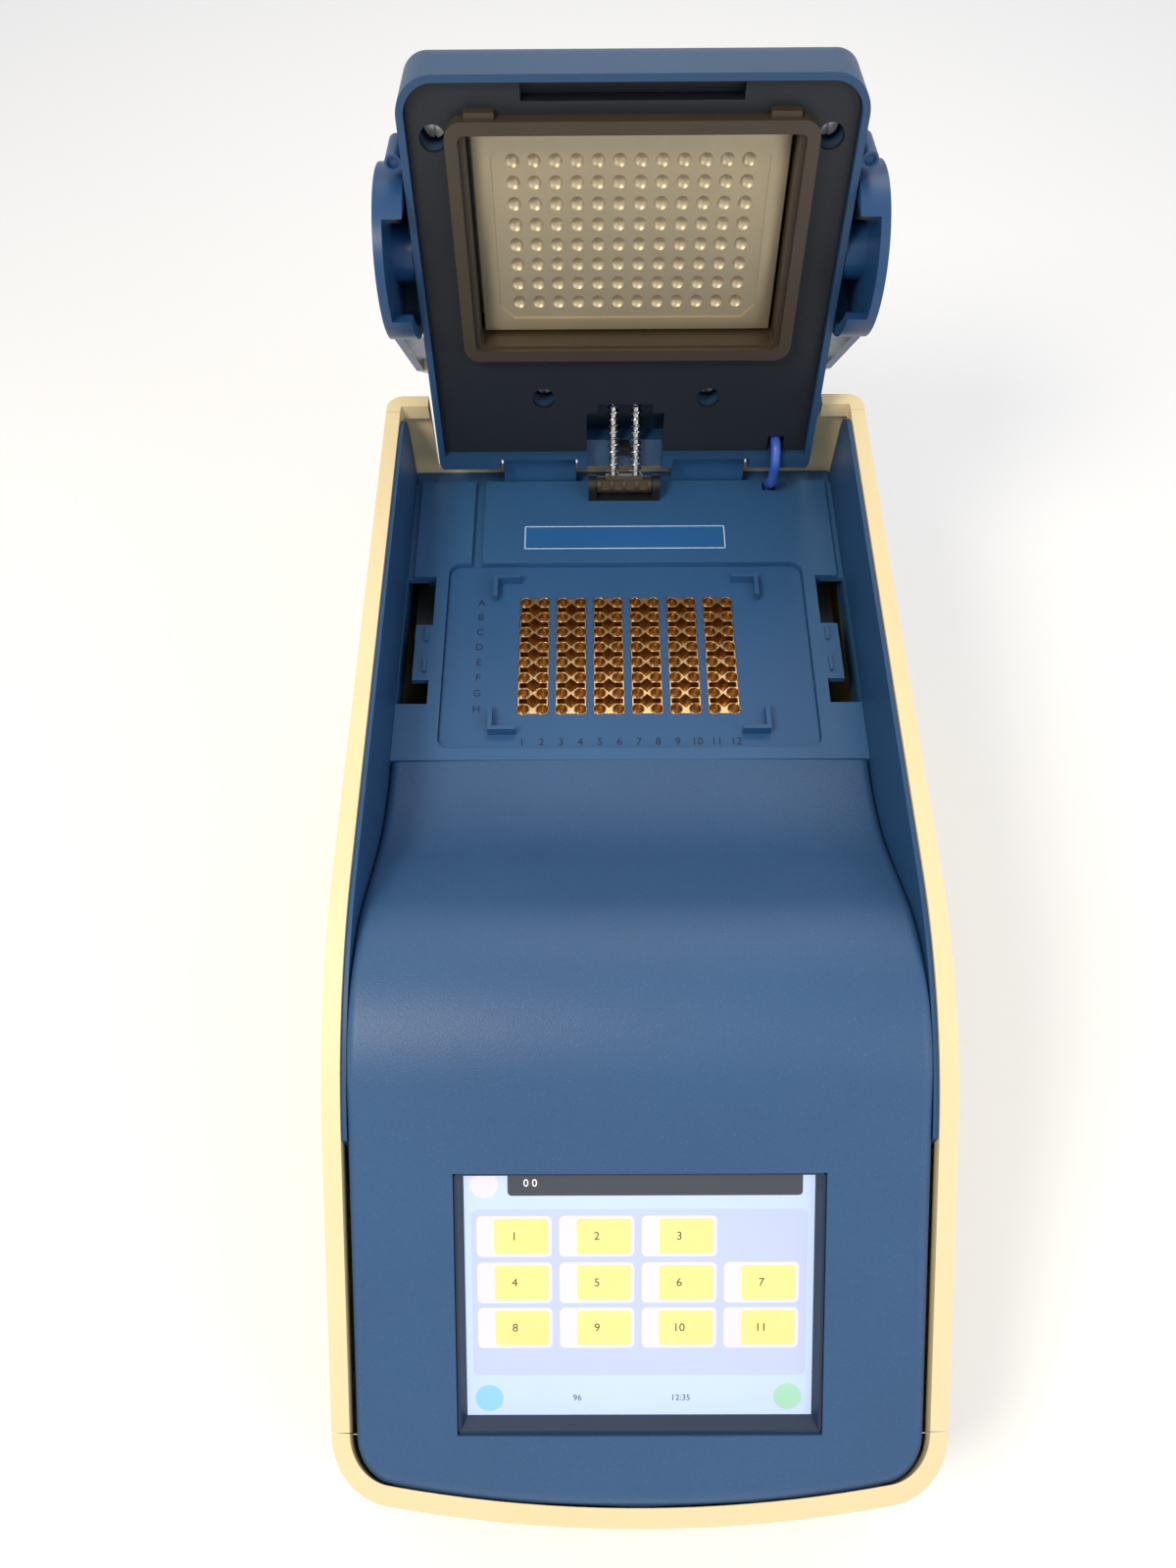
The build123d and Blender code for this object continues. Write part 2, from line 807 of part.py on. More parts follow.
def cover_screws():
    seat = plate_z - panel_drop + panel_thickness
    part = Part()
    for x, y in screw_places():
        low = seat + screw_hole_depth - screw_head_height
        radius = screw_hole_radius - screw_head_gap
        head = bar_z(x, block_y + y, low, low + screw_head_height, radius)
        part += head - Pos(x, block_y + y, low) * Box(screw_slot_width, 2 * radius, 2 * screw_slot_depth)
    return part


def stop_knobs():
    y = block_y - stop_from_block
    knob = bar_z(stop_x, y, lid_rim_z + 1, lid_rim_z + 20, stop_radius)
    knob -= bar_z(stop_x, y, lid_rim_z, lid_rim_z + 3, stop_radius - 1)
    return both_sides(knob - slab(0, lid_half, y - 9, y + 9, 0, 400))


def hinge_pins():
    reach = knuckle_outer + knuckle_gap + lug_width
    return both_sides(bar_x(knuckle_inner - knuckle_gap - lug_width, reach, hinge_y, hinge_z, hinge_pin_radius))


# Lever: a notched disc with an inward flange on each side, an arm on each disc and a bar across the front
def left_lever_side():
    disc = bar_x(disc_web_face, disc_outer_face, pivot_y, pivot_z, disc_radius)
    ring = bar_x(disc_inner_face, disc_web_face, pivot_y, pivot_z, disc_radius)
    ring -= bar_x(disc_inner_face - 1, disc_web_face, pivot_y, pivot_z, flange_inner)
    hub = bar_x(lid_half + hub_gap, disc_web_face, pivot_y, pivot_z, hub_radius)
    notch = slab(0, disc_web_face, pivot_y + notch_front, pivot_y + notch_back, pivot_z - disc_radius - 1, pivot_z)
    part = disc + (ring - turned(notch, pivot_y, pivot_z, release_angle)) + hub + lever_arm()
    part -= bar_x(0, half_width, pivot_y, pivot_z, hub_pin_radius + pin_clearance)
    for y, z in bar_screw_places():
        part -= bar_x(0, half_width, y, z, bar_screw_radius)
    return mirror(part, about=Plane.YZ)


def lever_pins():
    z = pivot_z
    shaft = bar_x(lid_half - lid_wall - 3, disc_outer_face - 0.5, pivot_y, z, hub_pin_radius)
    flange = bar_x(lid_half - lid_wall - 3, lid_half - lid_wall, pivot_y, z, hub_pin_radius + 1.5)
    return both_sides(shaft + flange)


def lever_arm():
    x0, x1 = disc_web_face, disc_outer_face
    y0 = block_y - bar_front
    y1 = block_y - bar_back
    face = outline(
        (pivot_y - 10, pivot_z + disc_radius - 2.5),
        (y1, block_top + bar_back_rise, 12.0),
        (y0, block_top + bar_front_rise, 2.0),
        (y0 + 2, block_top + bar_front_rise - arm_depth / 2, 3.0),
        (y1, block_top + bar_back_rise - arm_depth, 14.0),
        (pivot_y - disc_radius + 2, pivot_z + 6),
    )
    return across(face, x0, x1)


def bar_screw_places():
    y = block_y - (bar_back + bar_front) / 2
    z = block_top + (bar_back_rise + bar_front_rise) / 2 - bar_thickness
    return [(y - 10, z - 0.4), (y + 10, z + 1.4)]


def lever_bar():
    y0 = block_y - bar_front
    y1 = block_y - bar_back
    z0 = block_top + bar_front_rise
    z1 = block_top + bar_back_rise
    under = Polyline((y0, z0), (y0, z0 - bar_thickness), (y1, z1 - bar_thickness), (y1, z1))
    crown = ThreePointArc((y1, z1), ((y0 + y1) / 2, (z0 + z1) / 2 + 1.2), (y0, z0))
    bar = across(make_face(under + crown), -disc_web_face, disc_web_face)
    for y, z in bar_screw_places():
        bar -= both_sides(bar_x(disc_web_face - 10, disc_web_face + 1, y, z, bar_screw_radius))
    return bar


def lever_screws():
    part = Part()
    for y, z in bar_screw_places():
        part += bar_x(disc_web_face - 9, disc_outer_face, y, z, bar_screw_radius)
        part += bar_x(disc_outer_face, disc_outer_face + 1.2, y, z, bar_screw_radius * 2)
    return both_sides(part)


# Balance strut: a cradle turns in two ears on the deck and carries two rods with their springs
def strut_line():
    swing = math.radians(-open_angle)
    foot = (block_y + strut_foot_back, block_top + strut_foot_above)
    reach_y = block_y + strut_head_back - hinge_y
    reach_z = block_top + strut_head_above - hinge_z
    head_y = hinge_y + reach_y * math.cos(swing) - reach_z * math.sin(swing)
    head_z = hinge_z + reach_y * math.sin(swing) + reach_z * math.cos(swing)
    length = math.hypot(head_y - foot[0], head_z - foot[1])
    lean = math.degrees(math.atan2(head_y - foot[0], head_z - foot[1]))
    return foot, length, lean


def on_strut(part):
    foot, length, lean = strut_line()
    return Pos(0, foot[0], foot[1]) * Rot(-lean, 0, 0) * part


def strut_bracket():
    y = block_y + strut_foot_back
    z = block_top + strut_foot_above
    ear = bar_x(ear_inner, ear_outer, y, z, ear_round) + slab(ear_inner, ear_outer, y - ear_round, y + ear_round, deck_top, z)
    ear -= bar_x(ear_inner - 1, ear_outer + 1, y, z, ear_pin_radius + pin_clearance)
    web = slab(-ear_inner, ear_inner, y - ear_round, y + ear_round, deck_top, deck_top + 1.2)
    return both_sides(ear) + web


def strut_cradle():
    body = bar_x(-ear_inner + 0.4, ear_inner - 0.4, 0, 0, cradle_radius)
    body += bar_x(-ear_outer + 0.2, ear_outer - 0.2, 0, 0, ear_pin_radius)
    for x in (-9.6, -3.2, 3.2, 9.6):
        body -= slab(x - 2.4, x + 2.4, -cradle_radius - 1, -cradle_radius + 1.2, -2.2, 2.2)
    body += slab(-9.5, 9.5, -2.8, 2.8, 0, cradle_radius + 0.8)
    for x in (-spring_x, spring_x):
        body -= bar_z(x, 0, -1, cradle_radius + 2, rod_radius)
    return on_strut(body)


def guide_rods():
    length = strut_line()[1]
    rods = bar_z(spring_x, 0, -1, length + 4, rod_radius)
    return on_strut(both_sides(rods))


def strut_springs():
    length = strut_line()[1]
    seat = cradle_radius + 0.8
    coil = bar_z(spring_x, 0, seat, length - 4, spring_radius)
    coil -= bar_z(spring_x, 0, seat - 1, length, rod_radius + 0.3)
    return on_strut(both_sides(coil))


# The strut's upper seat hangs in the cover; its slots leave the rods room to swing
def strut_yoke():
    length = strut_line()[1]
    block = Box(2 * yoke_half, 2 * slot_reach + 4, yoke_depth)
    for x in (-spring_x, spring_x):
        block -= Pos(x, 0) * Box(2 * rod_radius + 0.9, 2 * slot_reach, yoke_depth + 2)
    y = block_y + strut_head_back
    z = block_top + strut_head_above
    hanger = slab(yoke_half, yoke_half + 3.5, y - 5, y + 5, z - 4, plate_z + lid_rise - lid_wall)
    return on_strut(Pos(0, 0, length) * block) + opened(both_sides(hanger))


# The room that the strut needs in the cover's back wall, below a line just above its springs
def strut_bay(half):
    head_y = block_y + strut_head_back
    head_z = block_top + strut_head_above
    tilt = math.radians(open_angle - 90 - strut_line()[2])
    front = block_y + strut_bay_front - 6
    back = hinge_y + 12
    lift = strut_clear / math.cos(tilt)
    side = outline(
        (front, 0),
        (back, 0),
        (back, head_z + lift + (back - head_y) * math.tan(tilt)),
        (front, head_z + lift + (front - head_y) * math.tan(tilt)),
    )
    return across(side, -half, half)


def stop_block():
    y = block_y + rear_band
    return slab(-2.4, 2.4, y, y + 5, hinge_z - 6.5, hinge_z + 9) & strut_bay(strut_bay_half)


# The flexible lead that feeds the heated plate, from the deck into the cover
def cover_cable():
    points = [
        (block_y + 109.3, block_top - 12),
        (block_y + 109.3, block_top + 1),
        (block_y + 99.2, block_top + 12),
        (block_y + 98.6, block_top + 25.5),
        (block_y + 105, block_top + 32),
        (block_y + 119, block_top + 30.2),
    ]
    path = Plane.YZ.offset(cable_slot_x) * Polyline(*points)
    return sweep(Plane(path @ 0, z_dir=path % 0) * Circle(cable_radius), path, transition=Transition.RIGHT)


# Bottom tray, feet, brackets and what stands in the body
def base_tray():
    edge = plan(panel_wall + tray_gap)
    tray = upright(edge, tray_z, tray_top)
    tray += upright(edge - offset(edge, -tray_floor), tray_top, tray_top + tray_wall)
    for x, y in foot_places():
        tray -= bar_z(x, y, 0, tray_top + 1, foot_peg_radius + foot_peg_gap)
    return tray


def foot_places():
    return [(x, y) for x in (-foot_x, foot_x) for y in (foot_front_y, foot_rear_y)]


def rubber_feet():
    part = Part()
    up = (Align.CENTER, Align.CENTER, Align.MIN)
    for x, y in foot_places():
        foot = Cylinder(foot_radius, tray_z, align=up)
        part += Pos(x, y) * (foot + Pos(0, 0, tray_z) * Cylinder(foot_peg_radius, tray_floor, align=up))
    return part


# Sheet brackets carry the heat sink and the deck; their flanges show through the latch openings
def side_brackets():
    top = block_top - bracket_drop
    y0 = block_y - bracket_front
    y1 = block_y + bracket_back
    wall = slab(bracket_x, bracket_x + bracket_sheet, y0, y1, tray_top, top)
    flange = slab(bracket_x, bracket_x + bracket_flange, block_y + bracket_clear, y1, top - bracket_sheet, top)
    foot = slab(bracket_x, bracket_x + 12, y0, y1, tray_top, tray_top + bracket_sheet)
    shelf = slab(sink_half_x + 2, bracket_x, block_y - sink_half_y, block_y + sink_half_y, sink_low, sink_low + bracket_sheet)
    return both_sides(wall + flange + foot + shelf)


def heat_sink():
    top = block_top - block_height - cooler_thickness
    base = slab(-sink_half_x, sink_half_x, -sink_half_y, sink_half_y, top - sink_base, top)
    wing = slab(sink_half_x, bracket_x - shell_gap, -sink_half_y, sink_half_y, sink_low + bracket_sheet, sink_low + bracket_sheet + sink_ear)
    part = base + both_sides(wing)
    pitch = (2 * sink_half_x - fin_thickness) / (fin_count - 1)
    for fin in range(fin_count):
        x = -sink_half_x + fin * pitch
        part += slab(x, x + fin_thickness, -sink_half_y, sink_half_y, top - sink_base - fin_height, top - sink_base)
    return Pos(0, block_y) * part


def thermoelectric_modules():
    top = block_top - block_height
    part = Part()
    for zone in range(zone_count):
        tile = Pos(zone_x(zone), block_y) * Rectangle(zone_width, zone_length)
        part += upright(tile, top - cooler_thickness, top)
    return part


# Fans stand against the back wall behind the heat sink
def fan_frame(side):
    y1 = rear_y - panel_wall
    half = fan_size / 2
    reach = fan_bore_radius + 1
    part = slab(-half, half, y1 - fan_depth, y1, -half, half)
    part -= bar_y(0, 0, y1 - fan_depth - 1, y1 + 1, fan_bore_radius)
    part += bar_y(0, 0, y1 - fan_end, y1, fan_hub_radius)
    part += slab(-reach, reach, y1 - fan_end, y1, -fan_strut / 2, fan_strut / 2)
    part += slab(-fan_strut / 2, fan_strut / 2, y1 - fan_end, y1, -reach, reach)
    part += bar_y(0, 0, y1 - fan_depth + 2 * fan_end, y1 - fan_end, fan_axle_radius)
    return Pos(side * fan_x, 0, fan_z) * part


def fan_rotor(side):
    y1 = rear_y - panel_wall
    front = y1 - fan_depth + 1
    back = y1 - fan_end - 2 * shell_gap
    part = bar_y(0, 0, front, back, fan_hub_radius)
    length = blade_reach - fan_hub_radius + 2
    for blade in range(blade_count):
        plate = Pos(0, (front + back) / 2, blade_reach - length / 2)
        plate *= Rot(0, 0, blade_pitch) * Box(blade_width, blade_thickness, length)
        part += Rot(0, blade * 360 / blade_count, 0) * plate
    part -= bar_y(0, 0, front - 1, back + 1, fan_axle_radius + pin_clearance)
    return Pos(side * fan_x, 0, fan_z) * part


def bar_y(x, z, y0, y1, radius):
    along = (Align.CENTER, Align.CENTER, Align.MIN)
    return Pos(x, y0, z) * Rot(-90, 0, 0) * Cylinder(radius, y1 - y0, align=along)


def power_supply():
    x0 = supply_offset - supply_width / 2
    x1 = supply_offset + supply_width / 2
    y0 = front_y + supply_from_front
    top = tray_top + supply_height
    part = slab(x0, x1, y0, rear_y - supply_from_rear, tray_top, top)
    for step in range(vent_count):
        y = y0 + (step + 1) * vent_pitch
        x = supply_offset - vent_length / 2
        part -= slab(x, x + vent_length, y, y + vent_width, top - vent_width / 2, top + 1)
    return part


def main_board():
    x0 = board_offset - board_width / 2
    x1 = board_offset + board_width / 2
    y0 = front_y + board_from_front
    y1 = rear_y - board_from_rear
    base = tray_top + board_lift
    top = base + board_thickness
    board = slab(x0, x1, y0, y1, base, top)
    inset = board_post_inset
    for x in (x0 + inset, x1 - inset):
        for y in (y0 + inset, y1 - inset):
            half = board_post / 2
            board += slab(x - half, x + half, y - half, y + half, tray_top, base)
    third = (y1 - y0) / 3
    for place, height in enumerate(chip_heights):
        y = y0 + (place + 0.3) * third
        board += slab(x0 + board_width / 4, x0 + board_width / 2, y, y + third / 3, top, top + height)
    return board


# A stand under the hood carries the display
def display_stand():
    y0 = stand_y - stand_half_depth
    y1 = stand_y + stand_half_depth
    top_face = outline((y0, tray_top), (y1, tray_top), (y1, stand_height(y1)), (y0, stand_height(y0)))
    return both_sides(across(top_face, stand_inner, stand_inner + stand_sheet))


def stand_height(y):
    depth = bezel_depth + glass_thickness + display_thickness
    return slope_height(y) - depth / math.cos(math.radians(slope_angle))


# Rear connections
def power_inlet():
    body = inlet_block(inlet_size, inlet_depth)
    y1 = rear_y - panel_wall
    out = rear_y + 3
    socket_x = inlet_x + socket_from_inlet
    half_x = socket_width / 2
    half_z = socket_height / 2
    back = y1 - socket_depth
    body -= slab(socket_x - half_x, socket_x + half_x, back, out, inlet_z - half_z, inlet_z + half_z)
    for x, z in ((0, 4), (-7, -3), (7, -3)):
        pin = Pos(socket_x + x, 0, inlet_z + z) * Pos(0, y1 - 1 - socket_depth / 2, 0)
        body += pin * Box(contact_width, socket_depth, contact_height)
    half_x = rocker_half_width + rocker_recess_gap
    half_z = rocker_half_height + 2 * rocker_recess_gap
    body -= slab(rocker_x - half_x, rocker_x + half_x, back - 2, out, inlet_z - half_z, inlet_z + half_z)
    return body + bar_x(rocker_x - half_x, rocker_x + half_x, rocker_y, inlet_z, rocker_axle_radius)


def inlet_block(size, depth):
    x, z, size_x, size_z = size
    y1 = rear_y - panel_wall
    half_x = size_x / 2 - shell_gap
    half_z = size_z / 2 - shell_gap
    part = slab(x - half_x, x + half_x, y1 - depth, rear_y, z - half_z, z + half_z)
    half_x = size_x / 2 + inlet_lip
    half_z = size_z / 2 + inlet_lip
    return part + slab(x - half_x, x + half_x, rear_y, rear_y + inlet_lip, z - half_z, z + half_z)


def power_rocker():
    face = outline(
        (rocker_y - 4, inlet_z - rocker_half_height + 1.8),
        (rocker_y + 3.2, inlet_z - rocker_half_height),
        (rocker_y + 1.6, inlet_z),
        (rocker_y + 3.2, inlet_z + rocker_half_height),
        (rocker_y - 4, inlet_z + rocker_half_height - 1.8),
    )
    part = across(face, rocker_x - rocker_half_width, rocker_x + rocker_half_width)
    bore = rocker_axle_radius + pin_clearance
    part -= bar_x(rocker_x - rocker_half_width - 1, rocker_x + rocker_half_width + 1, rocker_y, inlet_z, bore)
    return turned(part, rocker_y, inlet_z, rocker_travel / 2)


def network_port():
    return jack(network_size, 16.0, 12.0, 8.0)


def usb_port():
    return jack(usb_size, 14.0, 12.0, 5.0)


def jack(size, depth, mouth_x, mouth_z):
    x, z, size_x, size_z = size
    y1 = rear_y - panel_wall
    hole_y = y1 - depth + panel_wall
    hole = slab(x - mouth_x / 2, x + mouth_x / 2, hole_y, rear_y + 2, z - mouth_z / 2, z + mouth_z / 2)
    half_x = size_x / 2 - shell_gap
    half_z = size_z / 2 - shell_gap
    body = slab(x - half_x, x + half_x, y1 - depth, rear_y + shell_gap, z - half_z, z + half_z)
    half_x = size_x / 2 + inlet_lip
    half_z = size_z / 2 + inlet_lip
    return body + slab(x - half_x, x + half_x, y1 - depth, y1, z - half_z, z + half_z) - hole


os.makedirs("parts", exist_ok=True)
for old in os.listdir("parts"):
    if old.endswith(".step"):
        os.remove(f"parts/{old}")

pieces = {
    "base_tray": base_tray(),
    "rubber_feet": rubber_feet(),
    "front_bumper": front_bumper(),
    "left_side_panel": left_side_panel(),
    "right_side_panel": mirror(left_side_panel(), about=Plane.YZ),
    "rear_panel": rear_panel(),
    "left_liner": left_liner(),
    "right_liner": mirror(left_liner(), about=Plane.YZ),
    "hood": hood(),
    "screen_bezel": screen_bezel(),
    "touch_glass": touch_glass(),
    "display_module": display_module(),
    "display_stand": display_stand(),
    "deck": deck(),
    "block_cover": block_cover(),
    "label_plate": label_plate(),
    "thermoelectric_modules": thermoelectric_modules(),
    "heat_sink": heat_sink(),
    "side_brackets": side_brackets(),
    "left_fan_frame": fan_frame(-1),
    "right_fan_frame": fan_frame(1),
    "left_fan_rotor": fan_rotor(-1),
    "right_fan_rotor": fan_rotor(1),
    "power_supply": power_supply(),
    "main_board": main_board(),
    "power_inlet": power_inlet(),
    "power_rocker": power_rocker(),
    "network_port": network_port(),
    "usb_port": usb_port(),
    "strut_bracket": strut_bracket(),
    "strut_cradle": strut_cradle(),
    "guide_rods": guide_rods(),
    "strut_springs": strut_springs(),
    "strut_yoke": strut_yoke(),
    "lid_shell": opened(lid_shell()),
    "lid_panel": opened(lid_panel()),
    "cover_skirt": opened(cover_skirt()),
    "heated_plate": opened(heated_plate()),
    "plate_heater": opened(plate_heater()),
    "plate_carrier": opened(plate_carrier()),
    "plate_springs": opened(plate_springs()),
    "cover_screws": opened(cover_screws()),
    "stop_knobs": opened(stop_knobs()),
    "stop_block": opened(stop_block()),
    "hinge_pins": opened(hinge_pins()),
    "lever_pins": opened(lever_pins()),
    "left_lever_side": released(left_lever_side()),
    "right_lever_side": released(mirror(left_lever_side(), about=Plane.YZ)),
    "lever_bar": released(lever_bar()),
    "lever_screws": released(lever_screws()),
    "cover_cable": cover_cable(),
}
zone_block = block_zone()
for zone in range(zone_count):
    pieces[f"sample_block_{zone + 1}"] = Pos(zone_x(zone), block_y) * zone_block
for name, piece in pieces.items():
    save(name, piece)
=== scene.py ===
import math

import bpy
from mathutils import Matrix, Vector


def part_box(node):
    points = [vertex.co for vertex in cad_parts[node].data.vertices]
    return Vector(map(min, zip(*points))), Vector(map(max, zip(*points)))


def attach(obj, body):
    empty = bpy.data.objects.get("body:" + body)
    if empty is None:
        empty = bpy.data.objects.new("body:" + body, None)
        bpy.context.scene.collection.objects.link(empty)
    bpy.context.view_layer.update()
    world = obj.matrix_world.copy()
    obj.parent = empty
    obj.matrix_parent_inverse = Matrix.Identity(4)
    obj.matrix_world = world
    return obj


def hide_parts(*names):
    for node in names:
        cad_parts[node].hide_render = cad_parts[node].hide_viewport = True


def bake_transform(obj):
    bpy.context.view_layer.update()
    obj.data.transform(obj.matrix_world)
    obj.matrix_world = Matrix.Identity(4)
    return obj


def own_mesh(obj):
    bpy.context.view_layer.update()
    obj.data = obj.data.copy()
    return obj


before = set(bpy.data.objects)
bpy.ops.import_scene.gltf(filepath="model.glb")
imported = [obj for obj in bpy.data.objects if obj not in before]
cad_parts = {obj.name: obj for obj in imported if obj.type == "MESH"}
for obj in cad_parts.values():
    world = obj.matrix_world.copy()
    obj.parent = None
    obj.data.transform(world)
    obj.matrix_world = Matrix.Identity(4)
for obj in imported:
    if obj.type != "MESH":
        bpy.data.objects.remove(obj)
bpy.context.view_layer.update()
print("frame loaded")

mm = 0.001


# Helpers
def high(node):
    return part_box(node)[1]


def deselect():
    bpy.ops.object.select_all(action="DESELECT")


def take():
    return bpy.context.view_layer.objects.active


def choose(obj):
    deselect()
    obj.select_set(True)
    bpy.context.view_layer.objects.active = obj


def settle(obj):
    choose(obj)
    bpy.ops.object.transform_apply(location=True, rotation=True, scale=True)
    return obj


def applyAll(obj):
    choose(obj)
    for modifier in list(obj.modifiers):
        bpy.ops.object.modifier_apply(modifier=modifier.name)
    return obj


def joined(parts, name):
    deselect()
    for part in parts:
        part.select_set(True)
    bpy.context.view_layer.objects.active = parts[0]
    if len(parts) > 1:
        bpy.ops.object.join()
    whole = take()
    whole.name = name
    return whole


def block(name, size, place, edge=0.0, steps=2):
    deselect()
    bpy.ops.mesh.primitive_cube_add(size=1, location=place)
    obj = take()
    obj.name = name
    obj.scale = size
    settle(obj)
    if edge:
        bevel = obj.modifiers.new("edge", "BEVEL")
        bevel.width = edge
        bevel.segments = steps
        bevel.limit_method = "ANGLE"
        applyAll(obj)
    return obj


def disc(name, radius, depth, place, sides=32):
    deselect()
    bpy.ops.mesh.primitive_cylinder_add(
        vertices=sides,
        radius=radius,
        depth=depth,
        location=place,
    )
    obj = take()
    obj.name = name
    return settle(obj)


def ring(name, radius, wire, place, sides=32, wireSides=8):
    deselect()
    bpy.ops.mesh.primitive_torus_add(
        major_radius=radius,
        minor_radius=wire,
        major_segments=sides,
        minor_segments=wireSides,
        location=place,
    )
    obj = take()
    obj.name = name
    return settle(obj)


def words(name, text, size, place=(0, 0, 0), thick=0.0):
    deselect()
    bpy.ops.object.text_add(location=(0, 0, 0))
    obj = take()
    obj.name = name
    obj.data.body = text
    obj.data.size = size
    obj.data.extrude = thick
    obj.data.align_x = "CENTER"
    obj.data.align_y = "CENTER"
    bpy.ops.object.convert(target="MESH")
    obj = take()
    obj.location = place
    return settle(obj)


def tube(name, points, radius, sides=4):
    curve = bpy.data.curves.new(name, "CURVE")
    curve.dimensions = "3D"
    curve.bevel_depth = radius
    curve.bevel_resolution = sides
    curve.use_fill_caps = True
    line = curve.splines.new("POLY")
    line.points.add(len(points) - 1)
    for point, place in zip(line.points, points):
        point.co = (*place, 1)
    obj = bpy.data.objects.new(name, curve)
    bpy.context.scene.collection.objects.link(obj)
    choose(obj)
    bpy.ops.object.convert(target="MESH")
    obj = take()
    smooth(obj)
    return obj


def rounded(points, bends, steps):
    path = [points[0]]
    for before, corner, after, bend in zip(points, points[1:], points[2:], bends):
        back = (before - corner).normalized()
        onward = (after - corner).normalized()
        half = back.angle(onward) / 2
        reach = bend / math.tan(half)
        centre = corner + (back + onward).normalized() * bend / math.sin(half)
        start = corner + back * reach - centre
        end = corner + onward * reach - centre
        for step in range(steps + 1):
            path.append(centre + start.normalized().slerp(end.normalized(), step / steps) * bend)
    return path + [points[-1]]


def smooth(obj, angle=40):
    choose(obj)
    bpy.ops.object.shade_smooth_by_angle(angle=math.radians(angle))
    return obj


def dress(obj, material, body):
    obj.data.materials.clear()
    obj.data.materials.append(material)
    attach(obj, body)
    return obj


# Materials: an sRGB hex colour turned to linear
def tone(code):
    linear = []
    for at in (1, 3, 5):
        share = int(code[at:at + 2], 16) / 255
        linear.append(share / 12.92 if share <= 0.04045 else ((share + 0.055) / 1.055) ** 2.4)
    return linear + [1.0]


def addNode(tree, kind, values=None, links=None):
    node = tree.nodes.new(kind)
    for socket, value in (values or {}).items():
        node.inputs[socket].default_value = value
    for socket, source in (links or {}).items():
        tree.links.new(source, node.inputs[socket])
    return node


def mixColours(tree, factor, first, second):
    node = addNode(tree, "ShaderNodeMix", {}, {"Factor": factor})
    node.data_type = "RGBA"
    for socket, paint in ((node.inputs[6], first), (node.inputs[7], second)):
        if isinstance(paint, list):
            socket.default_value = paint
        else:
            tree.links.new(paint, socket)
    return node.outputs[2]


# What all surfaces share: detail of the noise, height of the grain, and how rough a clear coat is
pattern = {"broadDetail": 4.0, "fineDetail": 3.0, "grainHeight": 0.5 * mm, "coatRough": 0.08}


# colour and shade are mixed in patches; patch, grain and the painted glints' scale are counts per
# metre
def surface(
    name,
    colour,
    shade,
    rough,
    metal=0.0,
    patch=25.0,
    grain=900.0,
    bump=0.05,
    paintedGlint=None,
    coat=0.0,
    glow=0.0,
):
    material = bpy.data.materials.new(name)
    material.use_nodes = True
    tree = material.node_tree
    tree.nodes.clear()
    out = addNode(tree, "ShaderNodeOutputMaterial")
    place = addNode(tree, "ShaderNodeTexCoord").outputs["Object"]
    broadLook = {"Scale": patch, "Detail": pattern["broadDetail"]}
    broad = addNode(tree, "ShaderNodeTexNoise", broadLook, {"Vector": place})
    paint = mixColours(tree, broad.outputs["Fac"], tone(shade), tone(colour))
    fineLook = {"Scale": grain, "Detail": pattern["fineDetail"]}
    fine = addNode(tree, "ShaderNodeTexNoise", fineLook, {"Vector": place})
    # painted glints: pale spots mixed into the colour round scattered points, standing for sparkle
    if paintedGlint:
        spots = addNode(tree, "ShaderNodeTexVoronoi", {"Scale": paintedGlint["scale"]}, {"Vector": place})
        span = {"From Min": paintedGlint["size"], "From Max": 0.0}
        edge = addNode(tree, "ShaderNodeMapRange", span, {"Value": spots.outputs["Distance"]})
        paint = mixColours(tree, edge.outputs["Result"], paint, tone(paintedGlint["colour"]))
    height = {"Strength": bump, "Distance": pattern["grainHeight"]}
    rise = addNode(tree, "ShaderNodeBump", height, {"Height": fine.outputs["Fac"]})
    shader = addNode(
        tree,
        "ShaderNodeBsdfPrincipled",
        {
            "Roughness": rough,
            "Metallic": metal,
            "Coat Weight": coat,
            "Coat Roughness": pattern["coatRough"],
        },
        {"Base Color": paint, "Normal": rise.outputs["Normal"]},
    )
    if glow:
        shader.inputs["Emission Strength"].default_value = glow
        tree.links.new(paint, shader.inputs["Emission Color"])
    tree.links.new(shader.outputs["BSDF"], out.inputs["Surface"])
    return material


# Outer shell: moulded ABS, aged to a warm cream, satin and faintly grained
creamPlastic = surface("creamPlastic", "#F2E0B4", "#E9D3A0", 0.55, patch=12, bump=0.12)
# Hood: ABS from a spark-eroded mould, whose fine texture breaks the gloss.
# Its sparkle is painted on as pale glints, drawn coarser than real, so that they show.
hoodPlastic = surface(
    "hoodPlastic",
    "#335A85",
    "#2B4E77",
    0.42,
    patch=14,
    grain=1600,
    bump=0.35,
    paintedGlint={"scale": 900.0, "size": 0.16, "colour": "#6F8FB4"},
)
# Deck, block cover and liners: moulded ABS in three batches of blue, satin
deckPlastic = surface("deckPlastic", "#31608F", "#2A557F", 0.48, patch=18, bump=0.12)
coverPlastic = surface("coverPlastic", "#2C5B8C", "#27527E", 0.5, patch=18, bump=0.12)
linerPlastic = surface("linerPlastic", "#24507C", "#1F456C", 0.5, patch=14, bump=0.12)
# Cover and lever: moulded ABS, darker and a little glossier from hands
lidPlastic = surface("lidPlastic", "#274C76", "#20405F", 0.42, patch=14, bump=0.15)
leverPlastic = surface("leverPlastic", "#1F4C7C", "#1A4069", 0.36, patch=14, bump=0.1)
# Cover's inside panel: near-black glass-filled nylon, dull
panelPlastic = surface("panelPlastic", "#1B2029", "#15181F", 0.5, patch=30, bump=0.15)
# Skirt round the heated plate: brown-black heat-proof plastic with a low sheen
skirtPlastic = surface("skirtPlastic", "#463B2D", "#3A3024", 0.4, patch=30, bump=0.1)
